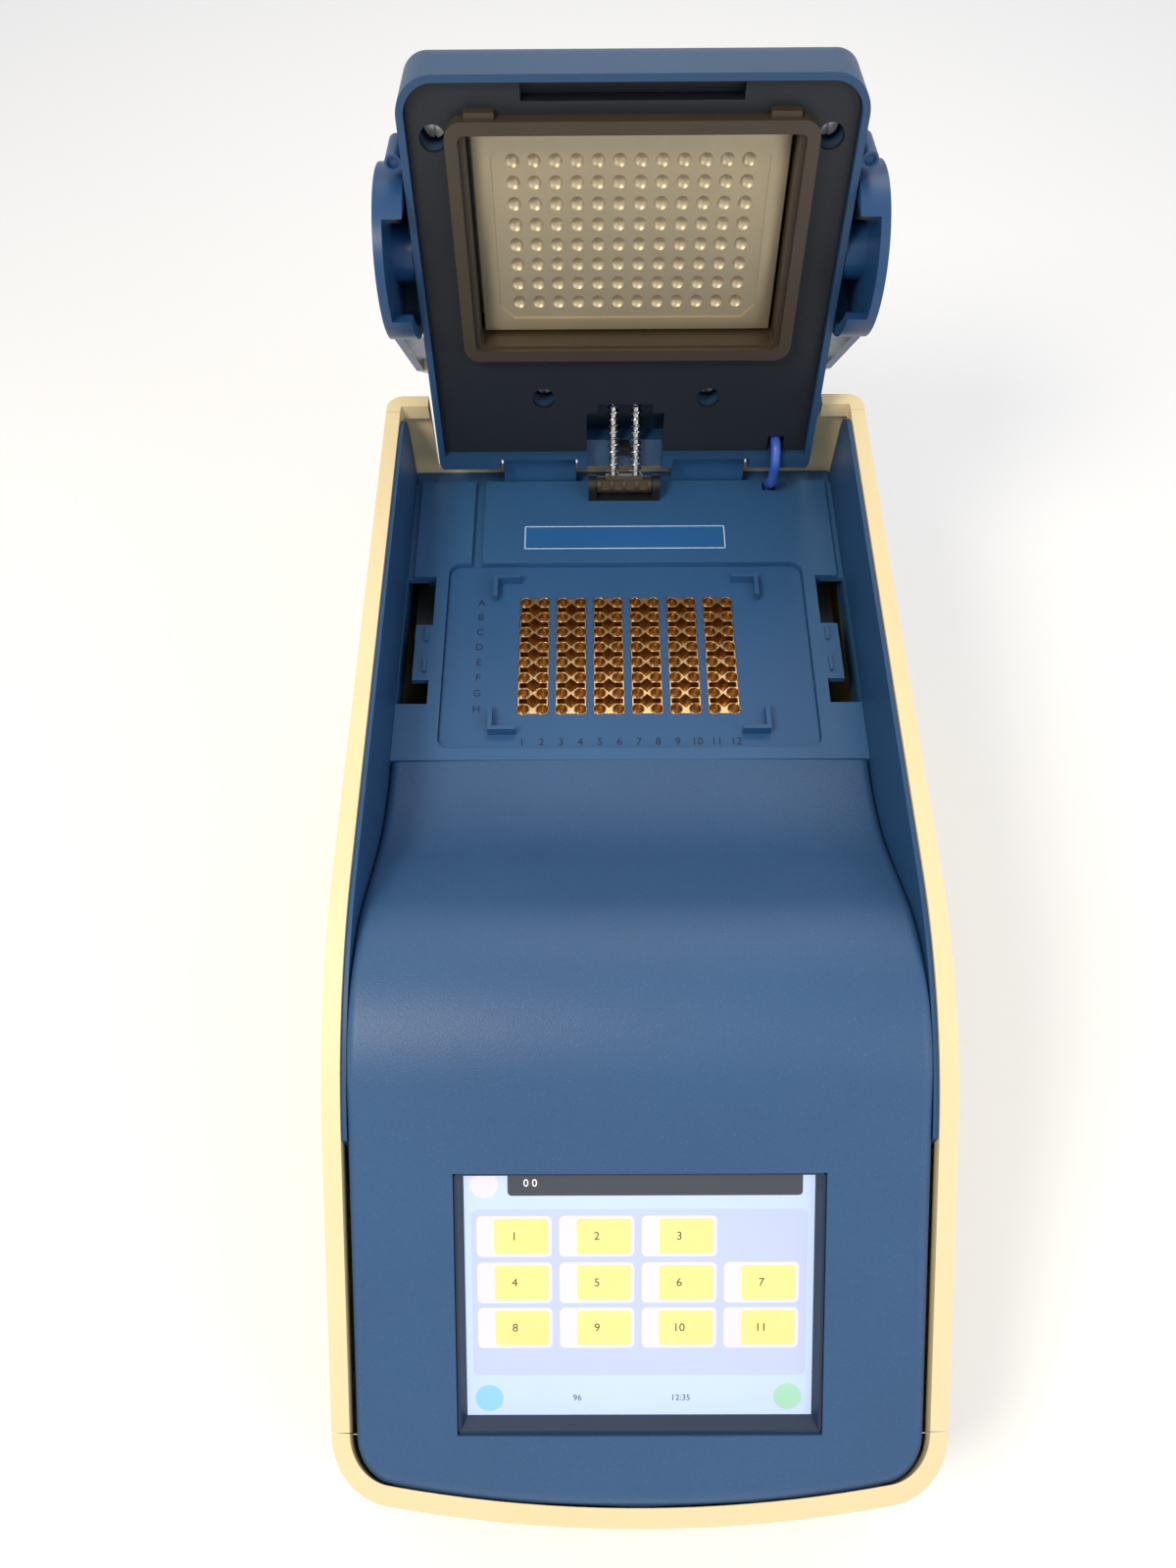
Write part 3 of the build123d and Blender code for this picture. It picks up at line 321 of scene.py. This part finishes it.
# Screen frame: navy ABS, satin
bezelPlastic = surface("bezelPlastic", "#20344F", "#1A2B42", 0.45, patch=20, bump=0.1)
# Sample block: machined and plated alloy, whose edges mirror warm light
blockMetal = surface(
    "blockMetal",
    "#D9B98A",
    "#A98558",
    0.26,
    metal=1.0,
    patch=220,
    grain=2600,
    bump=0.08,
)
# Heated plate: hard-anodised aluminium, warm and satin
plateMetal = surface(
    "plateMetal",
    "#CDBE9E",
    "#BEAD8C",
    0.42,
    metal=0.75,
    patch=40,
    grain=2200,
    bump=0.08,
)
# Springs, pins, rods and screws: drawn spring steel, bright
springSteel = surface("springSteel", "#E4E2DE", "#C9C6C0", 0.22, metal=1.0, patch=80, bump=0.02)
# Brackets, tray and housings: zinc-plated sheet steel, grey and half dull
sheetSteel = surface("sheetSteel", "#B9B8B4", "#A3A29E", 0.38, metal=0.9, patch=60, bump=0.04)
# Strut's cradle: zinc casting, passivated brown
cradleMetal = surface("cradleMetal", "#5B4E3E", "#463B2E", 0.4, metal=0.6, patch=60, bump=0.1)
# Fans, ears and sockets: black moulded plastic, dull
blackPlastic = surface("blackPlastic", "#17181A", "#101113", 0.5, patch=40, bump=0.08)
# Contacts of the network port: gold-plated brass
contactMetal = surface("contactMetal", "#C9A45A", "#B08C46", 0.3, metal=1.0)
# Circuit board: green solder mask over glass laminate
boardPlastic = surface("boardPlastic", "#1F5B35", "#184A2B", 0.5)
# Feet: black rubber, matt
footRubber = surface("footRubber", "#1B1B1B", "#131313", 0.8)
# Bare label: blue vinyl with a pale line
labelVinyl = surface("labelVinyl", "#2B66A4", "#255B94", 0.35)
labelWhite = surface("labelWhite", "#DDE6EE", "#D2DCE6", 0.4)
# Cover's lead: blue extruded sleeve
cableSleeve = surface("cableSleeve", "#3F66C8", "#3558B2", 0.35)
# Marks moulded into the block cover, drawn dark because they show by their shadows
markPlastic = surface("markPlastic", "#11294A", "#0E2340", 0.55)


# Lit screen behind clear glass: each field of the picture glows a little under a glossy coat
def lit(name, colour, shade, patch=30, glow=0.25):
    return surface(name, colour, shade, 0.25, patch=patch, bump=0.0, coat=1.0, glow=glow)


screenField = lit("screenField", "#C4D4F4", "#AFC4F0", patch=9, glow=0.3)
screenPanel = lit("screenPanel", "#BCC6EA", "#B2BDE6", patch=9)
screenHead = lit("screenHead", "#3B3F48", "#33363F", patch=9, glow=0.2)
screenTile = lit("screenTile", "#F1DF92", "#E8D27C")
screenPale = lit("screenPale", "#E2DCEC", "#D8D2E6")
# Words and round buttons on the screen
screenInk = surface("screenInk", "#3F3A30", "#37332A", 0.3, bump=0.0, coat=1.0)
screenWhite = surface("screenWhite", "#F4F4F4", "#ECECEC", 0.3, bump=0.0, coat=1.0, glow=0.4)
screenCyan = surface("screenCyan", "#8FCBE4", "#7FBCD8", 0.3, bump=0.0, coat=1.0, glow=0.25)
screenGreen = surface("screenGreen", "#A6D6BC", "#97CAAE", 0.3, bump=0.0, coat=1.0, glow=0.25)

# What each CAD node is made of
finishes = {
    "front_bumper": creamPlastic,
    "left_side_panel": creamPlastic,
    "right_side_panel": creamPlastic,
    "rear_panel": creamPlastic,
    "lever_bar": creamPlastic,
    "hood": hoodPlastic,
    "deck": deckPlastic,
    "block_cover": coverPlastic,
    "left_liner": linerPlastic,
    "right_liner": linerPlastic,
    "lid_shell": lidPlastic,
    "left_lever_side": leverPlastic,
    "right_lever_side": leverPlastic,
    "stop_knobs": leverPlastic,
    "lid_panel": panelPlastic,
    "cover_skirt": skirtPlastic,
    "screen_bezel": bezelPlastic,
    "touch_glass": screenField,
    "heated_plate": plateMetal,
    "plate_carrier": sheetSteel,
    "plate_heater": blackPlastic,
    "heat_sink": sheetSteel,
    "thermoelectric_modules": labelWhite,
    "label_plate": labelVinyl,
    "side_brackets": sheetSteel,
    "power_supply": sheetSteel,
    "base_tray": sheetSteel,
    "display_stand": sheetSteel,
    "display_module": blackPlastic,
    "main_board": boardPlastic,
    "network_port": contactMetal,
    "usb_port": sheetSteel,
    "power_inlet": blackPlastic,
    "power_rocker": blackPlastic,
    "left_fan_frame": blackPlastic,
    "right_fan_frame": blackPlastic,
    "left_fan_rotor": blackPlastic,
    "right_fan_rotor": blackPlastic,
    "stop_block": blackPlastic,
    "strut_bracket": blackPlastic,
    "strut_yoke": blackPlastic,
    "strut_cradle": cradleMetal,
    "guide_rods": springSteel,
    "strut_springs": springSteel,
    "plate_springs": springSteel,
    "cover_screws": springSteel,
    "lever_screws": springSteel,
    "hinge_pins": springSteel,
    "lever_pins": springSteel,
    "rubber_feet": footRubber,
    "cover_cable": cableSleeve,
}
for name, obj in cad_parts.items():
    paint = blockMetal if name.startswith("sample_block") else finishes[name]
    obj.data.materials.clear()
    obj.data.materials.append(paint)
print("materials set")


# Camera, floor and lights
camera = {
    "place": (-0.016987, -0.214602, 0.650033),
    "turn": (29.54, 0.32, -0.11),
    "lens": 26.84,
    "sensor": 36.0,
    "nearest": 0.01,
}
turn = [math.radians(angle) for angle in camera["turn"]]
bpy.ops.object.camera_add(location=camera["place"], rotation=turn)
eye = take()
eye.data.lens = camera["lens"]
eye.data.sensor_width = camera["sensor"]
eye.data.sensor_fit = "AUTO"
eye.data.clip_start = camera["nearest"]
scene = bpy.context.scene
scene.camera = eye
scene.view_settings.view_transform = "Standard"

studio = {"floorSize": 8, "sky": "#F4F6FA", "skyStrength": 0.72}
floorPaint = surface("floorPaint", "#FDFDFD", "#FBFBFB", 0.9, patch=1, bump=0.0)
bpy.ops.mesh.primitive_plane_add(size=studio["floorSize"], location=(0, 0, 0))
floor = take()
floor.data.materials.append(floorPaint)

scene.world = bpy.data.worlds.new("studio")
scene.world.use_nodes = True
sky = scene.world.node_tree.nodes["Background"]
sky.inputs["Color"].default_value = tone(studio["sky"])
sky.inputs["Strength"].default_value = studio["skyStrength"]


# place and aim in metres, size of the disk in metres, power in watts
def lamp(name, place, aim, size, power, colour):
    light = bpy.data.lights.new(name, "AREA")
    light.shape = "DISK"
    light.size = size
    light.energy = power
    light.color = tone(colour)[:3]
    obj = bpy.data.objects.new(name, light)
    scene.collection.objects.link(obj)
    obj.location = place
    obj.rotation_euler = (Vector(aim) - Vector(place)).to_track_quat("-Z", "Y").to_euler()


lamp("keyLight", (-0.5, -0.35, 1.15), (0.0, 0.05, 0.15), 0.35, 7.0, "#FFF3DC")
lamp("fillLight", (0.9, -0.6, 0.9), (0.0, 0.0, 0.15), 0.8, 3.5, "#F4F7FF")
lamp("backLight", (0.1, 0.9, 1.2), (0.0, 0.15, 0.2), 0.6, 3.0, "#FFF8EC")
print("camera and lights set")


# Screen picture: thin plates on the glass, in the screen's own slope
screen = {
    "slope": math.radians(36.27),
    "width": 133.0 * mm,
    "height": 99.6 * mm,
    "shift": 2.4 * mm,
    "middle": (0.0, -168.25 * mm, 167.1 * mm),
    "glass": -4.5 * mm,
    "layer": 0.06 * mm,
    "button": 5.4 * mm,
}
screenPlace = (
    Matrix.Translation(screen["middle"])
    @ Matrix.Rotation(screen["slope"], 4, "X")
    @ Matrix.Translation((0, screen["shift"], screen["glass"]))
)


# across and up are shares of the glass, and each layer lies one thickness above the last
def onScreen(obj, across, up, layer):
    x = (across - 0.5) * screen["width"]
    y = (up - 0.5) * screen["height"]
    obj.data.transform(screenPlace @ Matrix.Translation((x, y, layer * screen["layer"])))
    return obj


def plate(name, left, right, bottom, top, layer, corner=1.6 * mm, steps=4):
    wide = (right - left) * screen["width"]
    tall = (top - bottom) * screen["height"]
    obj = block(name, (wide, tall, screen["layer"]), (0, 0, screen["layer"] / 2))
    if corner:
        bevel = obj.modifiers.new("corner", "BEVEL")
        bevel.affect = "EDGES"
        bevel.width = corner
        bevel.segments = steps
        bevel.limit_method = "WEIGHT"
        weights = obj.data.attributes.new("bevel_weight_edge", "FLOAT", "EDGE")
        for edge in obj.data.edges:
            ends = [obj.data.vertices[at].co for at in edge.vertices]
            upright = abs(ends[0].z - ends[1].z) > screen["layer"] / 2
            weights.data[edge.index].value = 1.0 if upright else 0.0
        applyAll(obj)
    return onScreen(obj, (left + right) / 2, (bottom + top) / 2, layer)


tiles = {
    "left": 0.035,
    "step": 0.236,
    "width": 0.215,
    "columns": 4,
    "inFirstRow": 3,
    "tops": (0.815, 0.627, 0.443),
    "height": 0.165,
    "corner": 2.0 * mm,
    "paleLeft": 0.05,
    "paleRight": 0.01,
    "paleEnds": 0.012,
    "faceCorner": 1.2 * mm,
    "number": 4.6 * mm,
    "inkLayer": 4.4,
}
picture = []


def show(obj, material):
    dress(obj, material, "base")
    picture.append(obj)


show(plate("screenImage", 0.0, 1.0, 0.0, 1.0, 0, corner=0), screenField)
show(plate("screenHeader", 0.125, 0.965, 0.895, 0.995, 1), screenHead)
show(plate("screenGroup", 0.02, 0.98, 0.165, 0.84, 1, corner=2.5 * mm), screenPanel)
number = 0
for row, top in enumerate(tiles["tops"]):
    for column in range(tiles["columns"] if row else tiles["inFirstRow"]):
        number += 1
        left = tiles["left"] + column * tiles["step"]
        right = left + tiles["width"]
        bottom = top - tiles["height"]
        key = plate(f"screenKey{number}", left, right, bottom, top, 2, corner=tiles["corner"])
        show(key, screenPale)
        inner = plate(
            f"screenKeyFace{number}",
            left + tiles["paleLeft"],
            right - tiles["paleRight"],
            bottom + tiles["paleEnds"],
            top - tiles["paleEnds"],
            3,
            corner=tiles["faceCorner"],
        )
        show(inner, screenTile)
        digits = words(f"screenNumber{number}", str(number), tiles["number"])
        show(onScreen(digits, (left + right) / 2, (bottom + top) / 2, tiles["inkLayer"]), screenInk)
# name, words, size, across, up, layer, material
for name, text, size, across, up, layer, paint in (
    ("screenTitle", "0 0", 4.2 * mm, 0.19, 0.945, 2.4, screenWhite),
    ("screenClock", "12:35", 3.4 * mm, 0.62, 0.07, 1.4, screenInk),
    ("screenCount", "96", 3.4 * mm, 0.32, 0.07, 1.4, screenInk),
):
    show(onScreen(words(name, text, size), across, up, layer), paint)
# name, across, up, material
for name, across, up, paint in (
    ("screenHome", 0.058, 0.94, screenPale),
    ("screenPower", 0.065, 0.07, screenCyan),
    ("screenHelp", 0.93, 0.075, screenGreen),
):
    button = disc(name, screen["button"], screen["layer"], (0, 0, screen["layer"] / 2))
    show(onScreen(button, across, up, 1), paint)
groups = {}
for piece in picture:
    groups.setdefault(piece.data.materials[0].name, []).append(piece)
for finishName, group in groups.items():
    joined(group, finishName.replace("screen", "picture"))
print("screen picture made")


# Hood skin: follows the side curve with a slight crown, and rolls down at its edge
hood = {
    "half": high("hood")[0],
    "back": high("hood")[1],
    "bodyFront": -242.5 * mm,
    "bowRadius": 618.0 * mm,
    "cornerRadius": 24.0 * mm,
    "inset": 7.3 * mm,
    "flat": 192.0 * mm,
    "valleyY": 24.7 * mm,
    "rise": math.tan(math.radians(31.0)),
    "fall": math.tan(math.radians(36.27)),
    "slopeFrom": (-72.3 * mm, 237.5 * mm),
    "bends": (96.0 * mm, 67.0 * mm),
    "crown": 1.1 * mm,
    "roll": 4.0 * mm,
    "wall": 2.5 * mm,
    "spacing": 2.2 * mm,
    "columns": 110,
    "bendSteps": 24,
    "merge": 0.02 * mm,
    "windowX": 140.0 * mm,
    "windowY": 105.6 * mm,
    "windowThrough": 40 * mm,
    "smoothAngle": 35,
}


def slopeHeight(y):
    return hood["slopeFrom"][1] - (hood["slopeFrom"][0] - y) * hood["fall"]


# The hood's side line: flat behind, up from the valley to the crest, down the slope to the front
def hoodSide():
    crossing = slopeHeight(0) - hood["flat"] - hood["rise"] * hood["valleyY"]
    crestY = crossing / (-hood["rise"] - hood["fall"])
    front = hood["bodyFront"] + hood["inset"]
    corners = [
        Vector((0, hood["back"], hood["flat"])),
        Vector((0, hood["valleyY"], hood["flat"])),
        Vector((0, crestY, slopeHeight(crestY))),
        Vector((0, front, slopeHeight(front))),
    ]
    line = rounded(corners, hood["bends"], hood["bendSteps"])
    stations = [line[0]]
    for before, after in zip(line, line[1:]):
        pieces = max(1, math.ceil((after - before).length / hood["spacing"]))
        stations += [before.lerp(after, share / pieces) for share in range(1, pieces + 1)]
    return stations


bowRadius = hood["bowRadius"] - hood["inset"]
bowMiddle = hood["bodyFront"] + hood["bowRadius"]
cornerRadius = hood["cornerRadius"] - hood["inset"]
cornerX = hood["half"] - cornerRadius
cornerY = bowMiddle - math.sqrt((bowRadius - cornerRadius) ** 2 - cornerX**2)


def halfWidth(y):
    bow = math.sqrt(max(0.0, bowRadius**2 - (y - bowMiddle) ** 2))
    if y >= cornerY:
        return hood["half"]
    if bow <= cornerX * bowRadius / (bowRadius - cornerRadius):
        return bow
    return cornerX + math.sqrt(max(0.0, cornerRadius**2 - (y - cornerY) ** 2))


def fromEdge(x, y):
    if abs(x) > cornerX and y < cornerY:
        return cornerRadius - math.hypot(abs(x) - cornerX, y - cornerY)
    return min(hood["half"] - abs(x), bowRadius - math.hypot(x, y - bowMiddle))


def hoodSkin():
    points = []
    stations = hoodSide()
    columns = hood["columns"]
    for place in stations:
        wide = halfWidth(place.y)
        for column in range(columns + 1):
            x = -wide * math.cos(math.pi * column / columns)
            near = max(0.0, hood["roll"] - fromEdge(x, place.y))
            dip = hood["roll"] - math.sqrt(max(0.0, hood["roll"] ** 2 - near**2))
            z = place.z + hood["crown"] * (1 - (x / hood["half"]) ** 2) - dip
            points.append((x, place.y, z))
    faces = []
    for row in range(len(stations) - 1):
        for column in range(columns):
            at = row * (columns + 1) + column
            faces.append((at, at + columns + 1, at + columns + 2, at + 1))
    mesh = bpy.data.meshes.new("hoodSkin")
    mesh.from_pydata(points, [], faces)
    obj = bpy.data.objects.new("hoodSkin", mesh)
    scene.collection.objects.link(obj)
    choose(obj)
    bpy.ops.object.mode_set(mode="EDIT")
    bpy.ops.mesh.select_all(action="SELECT")
    bpy.ops.mesh.remove_doubles(threshold=hood["merge"])
    bpy.ops.mesh.normals_make_consistent(inside=False)
    bpy.ops.object.mode_set(mode="OBJECT")
    if obj.data.polygons[len(obj.data.polygons) // 2].normal.z < 0:
        obj.data.flip_normals()
    thick = obj.modifiers.new("wall", "SOLIDIFY")
    thick.thickness = hood["wall"]
    thick.offset = -1
    opening = (hood["windowX"], hood["windowY"], hood["windowThrough"])
    window = block("window", opening, (0, 0, 0))
    window.data.transform(screenPlace @ Matrix.Translation((0, -screen["shift"], 0)))
    cut = obj.modifiers.new("window", "BOOLEAN")
    cut.operation = "DIFFERENCE"
    cut.object = window
    cut.solver = "EXACT"
    applyAll(obj)
    bpy.data.objects.remove(window)
    return smooth(obj, hood["smoothAngle"])


skin = hoodSkin()
dress(skin, hoodPlastic, "base")
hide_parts("hood")
print("hood skin made")


# Grid of the wells, which the marks, the block and the heated plate share
grid = {
    "rows": 8,
    "columns": 12,
    "pitch": 9.0 * mm,
    "middle": 118.0 * mm,
    "top": high("sample_block_1")[2],
}


def columnX(column):
    return (column - (grid["columns"] - 1) / 2) * grid["pitch"]


def rowY(row):
    return grid["middle"] + (row - (grid["rows"] - 1) / 2) * grid["pitch"]


# Moulded row letters and column numbers on the block cover; row A is at the back
marks = {
    "lettersX": -71.5 * mm,
    "numbersY": -49.6 * mm,
    "size": 5.4 * mm,
    "thick": 0.15 * mm,
}


def mark(text, x, y):
    return words("mark" + text, text, marks["size"], (x, y, grid["top"]), marks["thick"])


moulded = []
for row, letter in enumerate("ABCDEFGH"):
    moulded.append(mark(letter, marks["lettersX"], rowY(grid["rows"] - 1 - row)))
for column in range(grid["columns"]):
    moulded.append(mark(str(column + 1), columnX(column), grid["middle"] + marks["numbersY"]))
dress(joined(moulded, "coverMarks"), markPlastic, "base")
print("marks made")


# Pale line round the bare label
label = {"line": 0.5 * mm, "inset": 1.2 * mm, "thick": 0.05 * mm}
lowEnd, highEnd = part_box("label_plate")
midX = (lowEnd[0] + highEnd[0]) / 2
midY = (lowEnd[1] + highEnd[1]) / 2
wide = highEnd[0] - lowEnd[0] - 2 * label["inset"]
deep = highEnd[1] - lowEnd[1] - 2 * label["inset"]
across = (wide, label["line"], label["thick"])
along = (label["line"], deep, label["thick"])
lines = []
for side in (-1, 1):
    lines.append(block("labelLine", across, (midX, midY + side * deep / 2, highEnd[2])))
    lines.append(block("labelLine", along, (midX + side * wide / 2, midY, highEnd[2])))
dress(joined(lines, "labelBorder"), labelWhite, "base")
print("label line made")


# Sample block: six zones with round tapered wells and relief pockets between them
blockZone = {
    "count": 6,
    "width": 14.2 * mm,
    "length": 68.0 * mm,
    "height": 20.0 * mm,
    "wellRadius": 2.75 * mm,
    "wellDepth": 16.0 * mm,
    "wellSides": 32,
    "wellLift": 0.05 * mm,
    "pocketDepth": 9.0 * mm,
    "pocketLift": 1 * mm,
    "pocket": ((6.6, 1.4), (2.8, 1.4), (0.0, 4.1), (-2.8, 1.4), (-6.6, 1.4)),
    "smoothAngle": 30,
}


# A closed prism over an outline of (x, y) corners
def prism(name, outline, bottom, top):
    count = len(outline)
    points = [(x, y, bottom) for x, y in outline] + [(x, y, top) for x, y in outline]
    faces = [tuple(reversed(range(count))), tuple(range(count, 2 * count))]
    for at in range(count):
        after = (at + 1) % count
        faces.append((at, after, after + count, at + count))
    mesh = bpy.data.meshes.new(name)
    mesh.from_pydata(points, [], faces)
    obj = bpy.data.objects.new(name, mesh)
    scene.collection.objects.link(obj)
    choose(obj)
    bpy.ops.object.mode_set(mode="EDIT")
    bpy.ops.mesh.select_all(action="SELECT")
    bpy.ops.mesh.normals_make_consistent(inside=False)
    bpy.ops.object.mode_set(mode="OBJECT")
    return obj


def carve(obj, cutters):
    tool = joined(cutters, "cut")
    cut = obj.modifiers.new("cut", "BOOLEAN")
    cut.operation = "DIFFERENCE"
    cut.object = tool
    cut.solver = "EXACT"
    applyAll(obj)
    bpy.data.objects.remove(tool)
    return obj


def zoneBlock():
    top = grid["top"]
    size = (blockZone["width"], blockZone["length"], blockZone["height"])
    zone = block("zoneBlock", size, (0, grid["middle"], top - blockZone["height"] / 2))
    cutters = []
    outline = [(x * mm, y * mm) for x, y in blockZone["pocket"]]
    outline += [(x, -y) for x, y in reversed(outline)]
    floor = top - blockZone["pocketDepth"]
    for row in range(grid["rows"] - 1):
        y = (rowY(row) + rowY(row + 1)) / 2
        shifted = [(x, y + up) for x, up in outline]
        cutters.append(prism("pocket", shifted, floor, top + blockZone["pocketLift"]))
    depth = blockZone["wellDepth"]
    for row in range(grid["rows"]):
        for x in (-grid["pitch"] / 2, grid["pitch"] / 2):
            deselect()
            bpy.ops.mesh.primitive_cone_add(
                vertices=blockZone["wellSides"],
                radius1=blockZone["wellRadius"],
                depth=depth,
                location=(x, rowY(row), top - depth / 2 + blockZone["wellLift"]),
                rotation=(math.pi, 0, 0),
            )
            cutters.append(settle(take()))
    return carve(zone, cutters)


first = zoneBlock()
zones = []
for place in range(blockZone["count"]):
    zone = first.copy()
    zone.data = first.data.copy()
    scene.collection.objects.link(zone)
    shift = (place - (blockZone["count"] - 1) / 2) * 2 * grid["pitch"]
    zone.data.transform(Matrix.Translation((shift, 0, 0)))
    zones.append(zone)
bpy.data.objects.remove(first)
wholeBlock = smooth(joined(zones, "wellBlock"), blockZone["smoothAngle"])
dress(wholeBlock, blockMetal, "base")
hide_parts(*[f"sample_block_{place + 1}" for place in range(blockZone["count"])])
print("well block made")


# Heated plate: a sunk face with cut corners and a dimple over each well, drawn shut and turned open
hotPlate = {
    "width": 132.6 * mm,
    "depth": 91.0 * mm,
    "thickness": 8.0 * mm,
    "edge": 0.5 * mm,
    "face": 205.5 * mm,
    "faceX": 58.5 * mm,
    "faceY": 39.5 * mm,
    "cornerCut": 6.0 * mm,
    "sunk": 0.6 * mm,
    "cutBelow": 1 * mm,
    "dimpleMouth": 3.0 * mm,
    "dimpleDepth": 1.3 * mm,
    "dimpleSides": 32,
    "dimpleRings": 24,
    "hinge": (0.0, 234.0 * mm, 207.7 * mm),
    "open": math.radians(97.67),
    "smoothAngle": 30,
}
openTurn = (
    Matrix.Translation(hotPlate["hinge"])
    @ Matrix.Rotation(-hotPlate["open"], 4, "X")
    @ Matrix.Translation([-part for part in hotPlate["hinge"]])
)


def heatedPlate():
    face = hotPlate["face"]
    size = (hotPlate["width"], hotPlate["depth"], hotPlate["thickness"])
    middle = (0, grid["middle"], face + hotPlate["thickness"] / 2)
    body = block("heatedPlateSkin", size, middle, hotPlate["edge"])
    x = hotPlate["faceX"]
    y = hotPlate["faceY"]
    cut = hotPlate["cornerCut"]
    quarter = [(x, y - cut), (x - cut, y)]
    outline = quarter + [(-a, b) for a, b in reversed(quarter)]
    outline += [(-a, -b) for a, b in outline]
    outline = [(a, b + grid["middle"]) for a, b in outline]
    carve(body, [prism("sunk", outline, face - hotPlate["cutBelow"], face + hotPlate["sunk"])])
    mouth = hotPlate["dimpleMouth"]
    deep = hotPlate["dimpleDepth"]
    radius = (mouth**2 + deep**2) / (2 * deep)
    z = face + hotPlate["sunk"] + deep - radius
    balls = []
    for row in range(grid["rows"]):
        for column in range(grid["columns"]):
            deselect()
            bpy.ops.mesh.primitive_uv_sphere_add(
                segments=hotPlate["dimpleSides"],
                ring_count=hotPlate["dimpleRings"],
                radius=radius,
                location=(columnX(column), rowY(row), z),
            )
            balls.append(settle(take()))
    carve(body, balls)
    body.data.transform(openTurn)
    return smooth(body, hotPlate["smoothAngle"])


plateSkin = heatedPlate()
dress(plateSkin, plateMetal, "floating_plate")
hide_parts("heated_plate")
print("heated plate made")


# Thin raised rims round the well mouths
rims = {"radius": 2.9 * mm, "wire": 0.28 * mm, "smoothAngle": 60}
wells = []
for column in range(grid["columns"]):
    for row in range(grid["rows"]):
        place = (columnX(column), rowY(row), grid["top"])
        wells.append(ring("wellRim", rims["radius"], rims["wire"], place))
wellRims = smooth(joined(wells, "wellRims"), rims["smoothAngle"])
dress(wellRims, blockMetal, "base")
print("well rims made")


# Coil springs of the strut, wound round the guide rods
lean = math.radians(32.7)  # from upright, the strut's angle at rest
strut = {
    "foot": Vector((0, 219.0 * mm, 199.5 * mm)),
    "along": Vector((0, math.sin(lean), math.cos(lean))),
    "start": 5.2 * mm,
    "end": 46.6 * mm,
    "apart": 5.8 * mm,
    "radius": 2.55 * mm,
    "wire": 0.5 * mm,
    "turns": 13,
    "steps": 24,
    "wireSides": 2,
    "keep": 0.41,
}
coils = []
side = Vector((1, 0, 0))
lift = strut["along"].cross(side)
for x in (-strut["apart"], strut["apart"]):
    points = []
    total = strut["turns"] * strut["steps"]
    for step in range(total + 1):
        angle = 2 * math.pi * step / strut["steps"]
        run = strut["start"] + (strut["end"] - strut["start"]) * step / total
        spoke = side * math.cos(angle) + lift * math.sin(angle)
        middle = strut["foot"] + Vector((x, 0, 0)) + strut["along"] * run
        points.append(middle + spoke * strut["radius"])
    coils.append(tube("strutCoil", points, strut["wire"], strut["wireSides"]))
coil = joined(coils, "strutCoils")
dress(coil, springSteel, "strut")
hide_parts("strut_springs")
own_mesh(coil)
print("strut coils made")


# Lead from the deck into the cover: y and z of its route in mm, from one clamp to the other
lead = {
    "x": 76.0 * mm,
    "points": (
        (227.3, 178.0),
        (227.3, 191.0),
        (217.2, 202.0),
        (216.6, 215.5),
        (223.0, 222.0),
        (237.0, 220.2),
    ),
    "bend": 5.0 * mm,
    "radius": 2.5 * mm,
    "arcSteps": 8,
    "sides": 5,
    "bendsFrom": (227.3, 191.0),
    "bendsTo": (223.0, 222.0),
}
route = [Vector((lead["x"], y * mm, z * mm)) for y, z in lead["points"]]
path = rounded(route, [lead["bend"]] * (len(route) - 2), lead["arcSteps"])
cable = tube("coverLead", path, lead["radius"], lead["sides"])
cable.data.materials.clear()
cable.data.materials.append(cableSleeve)
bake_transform(cable)
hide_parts("cover_cable")
print("lead made")

nodeSmoothAngle = 30
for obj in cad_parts.values():
    if obj.type == "MESH" and not obj.hide_render:
        smooth(obj, nodeSmoothAngle)
print("nodes smoothed")
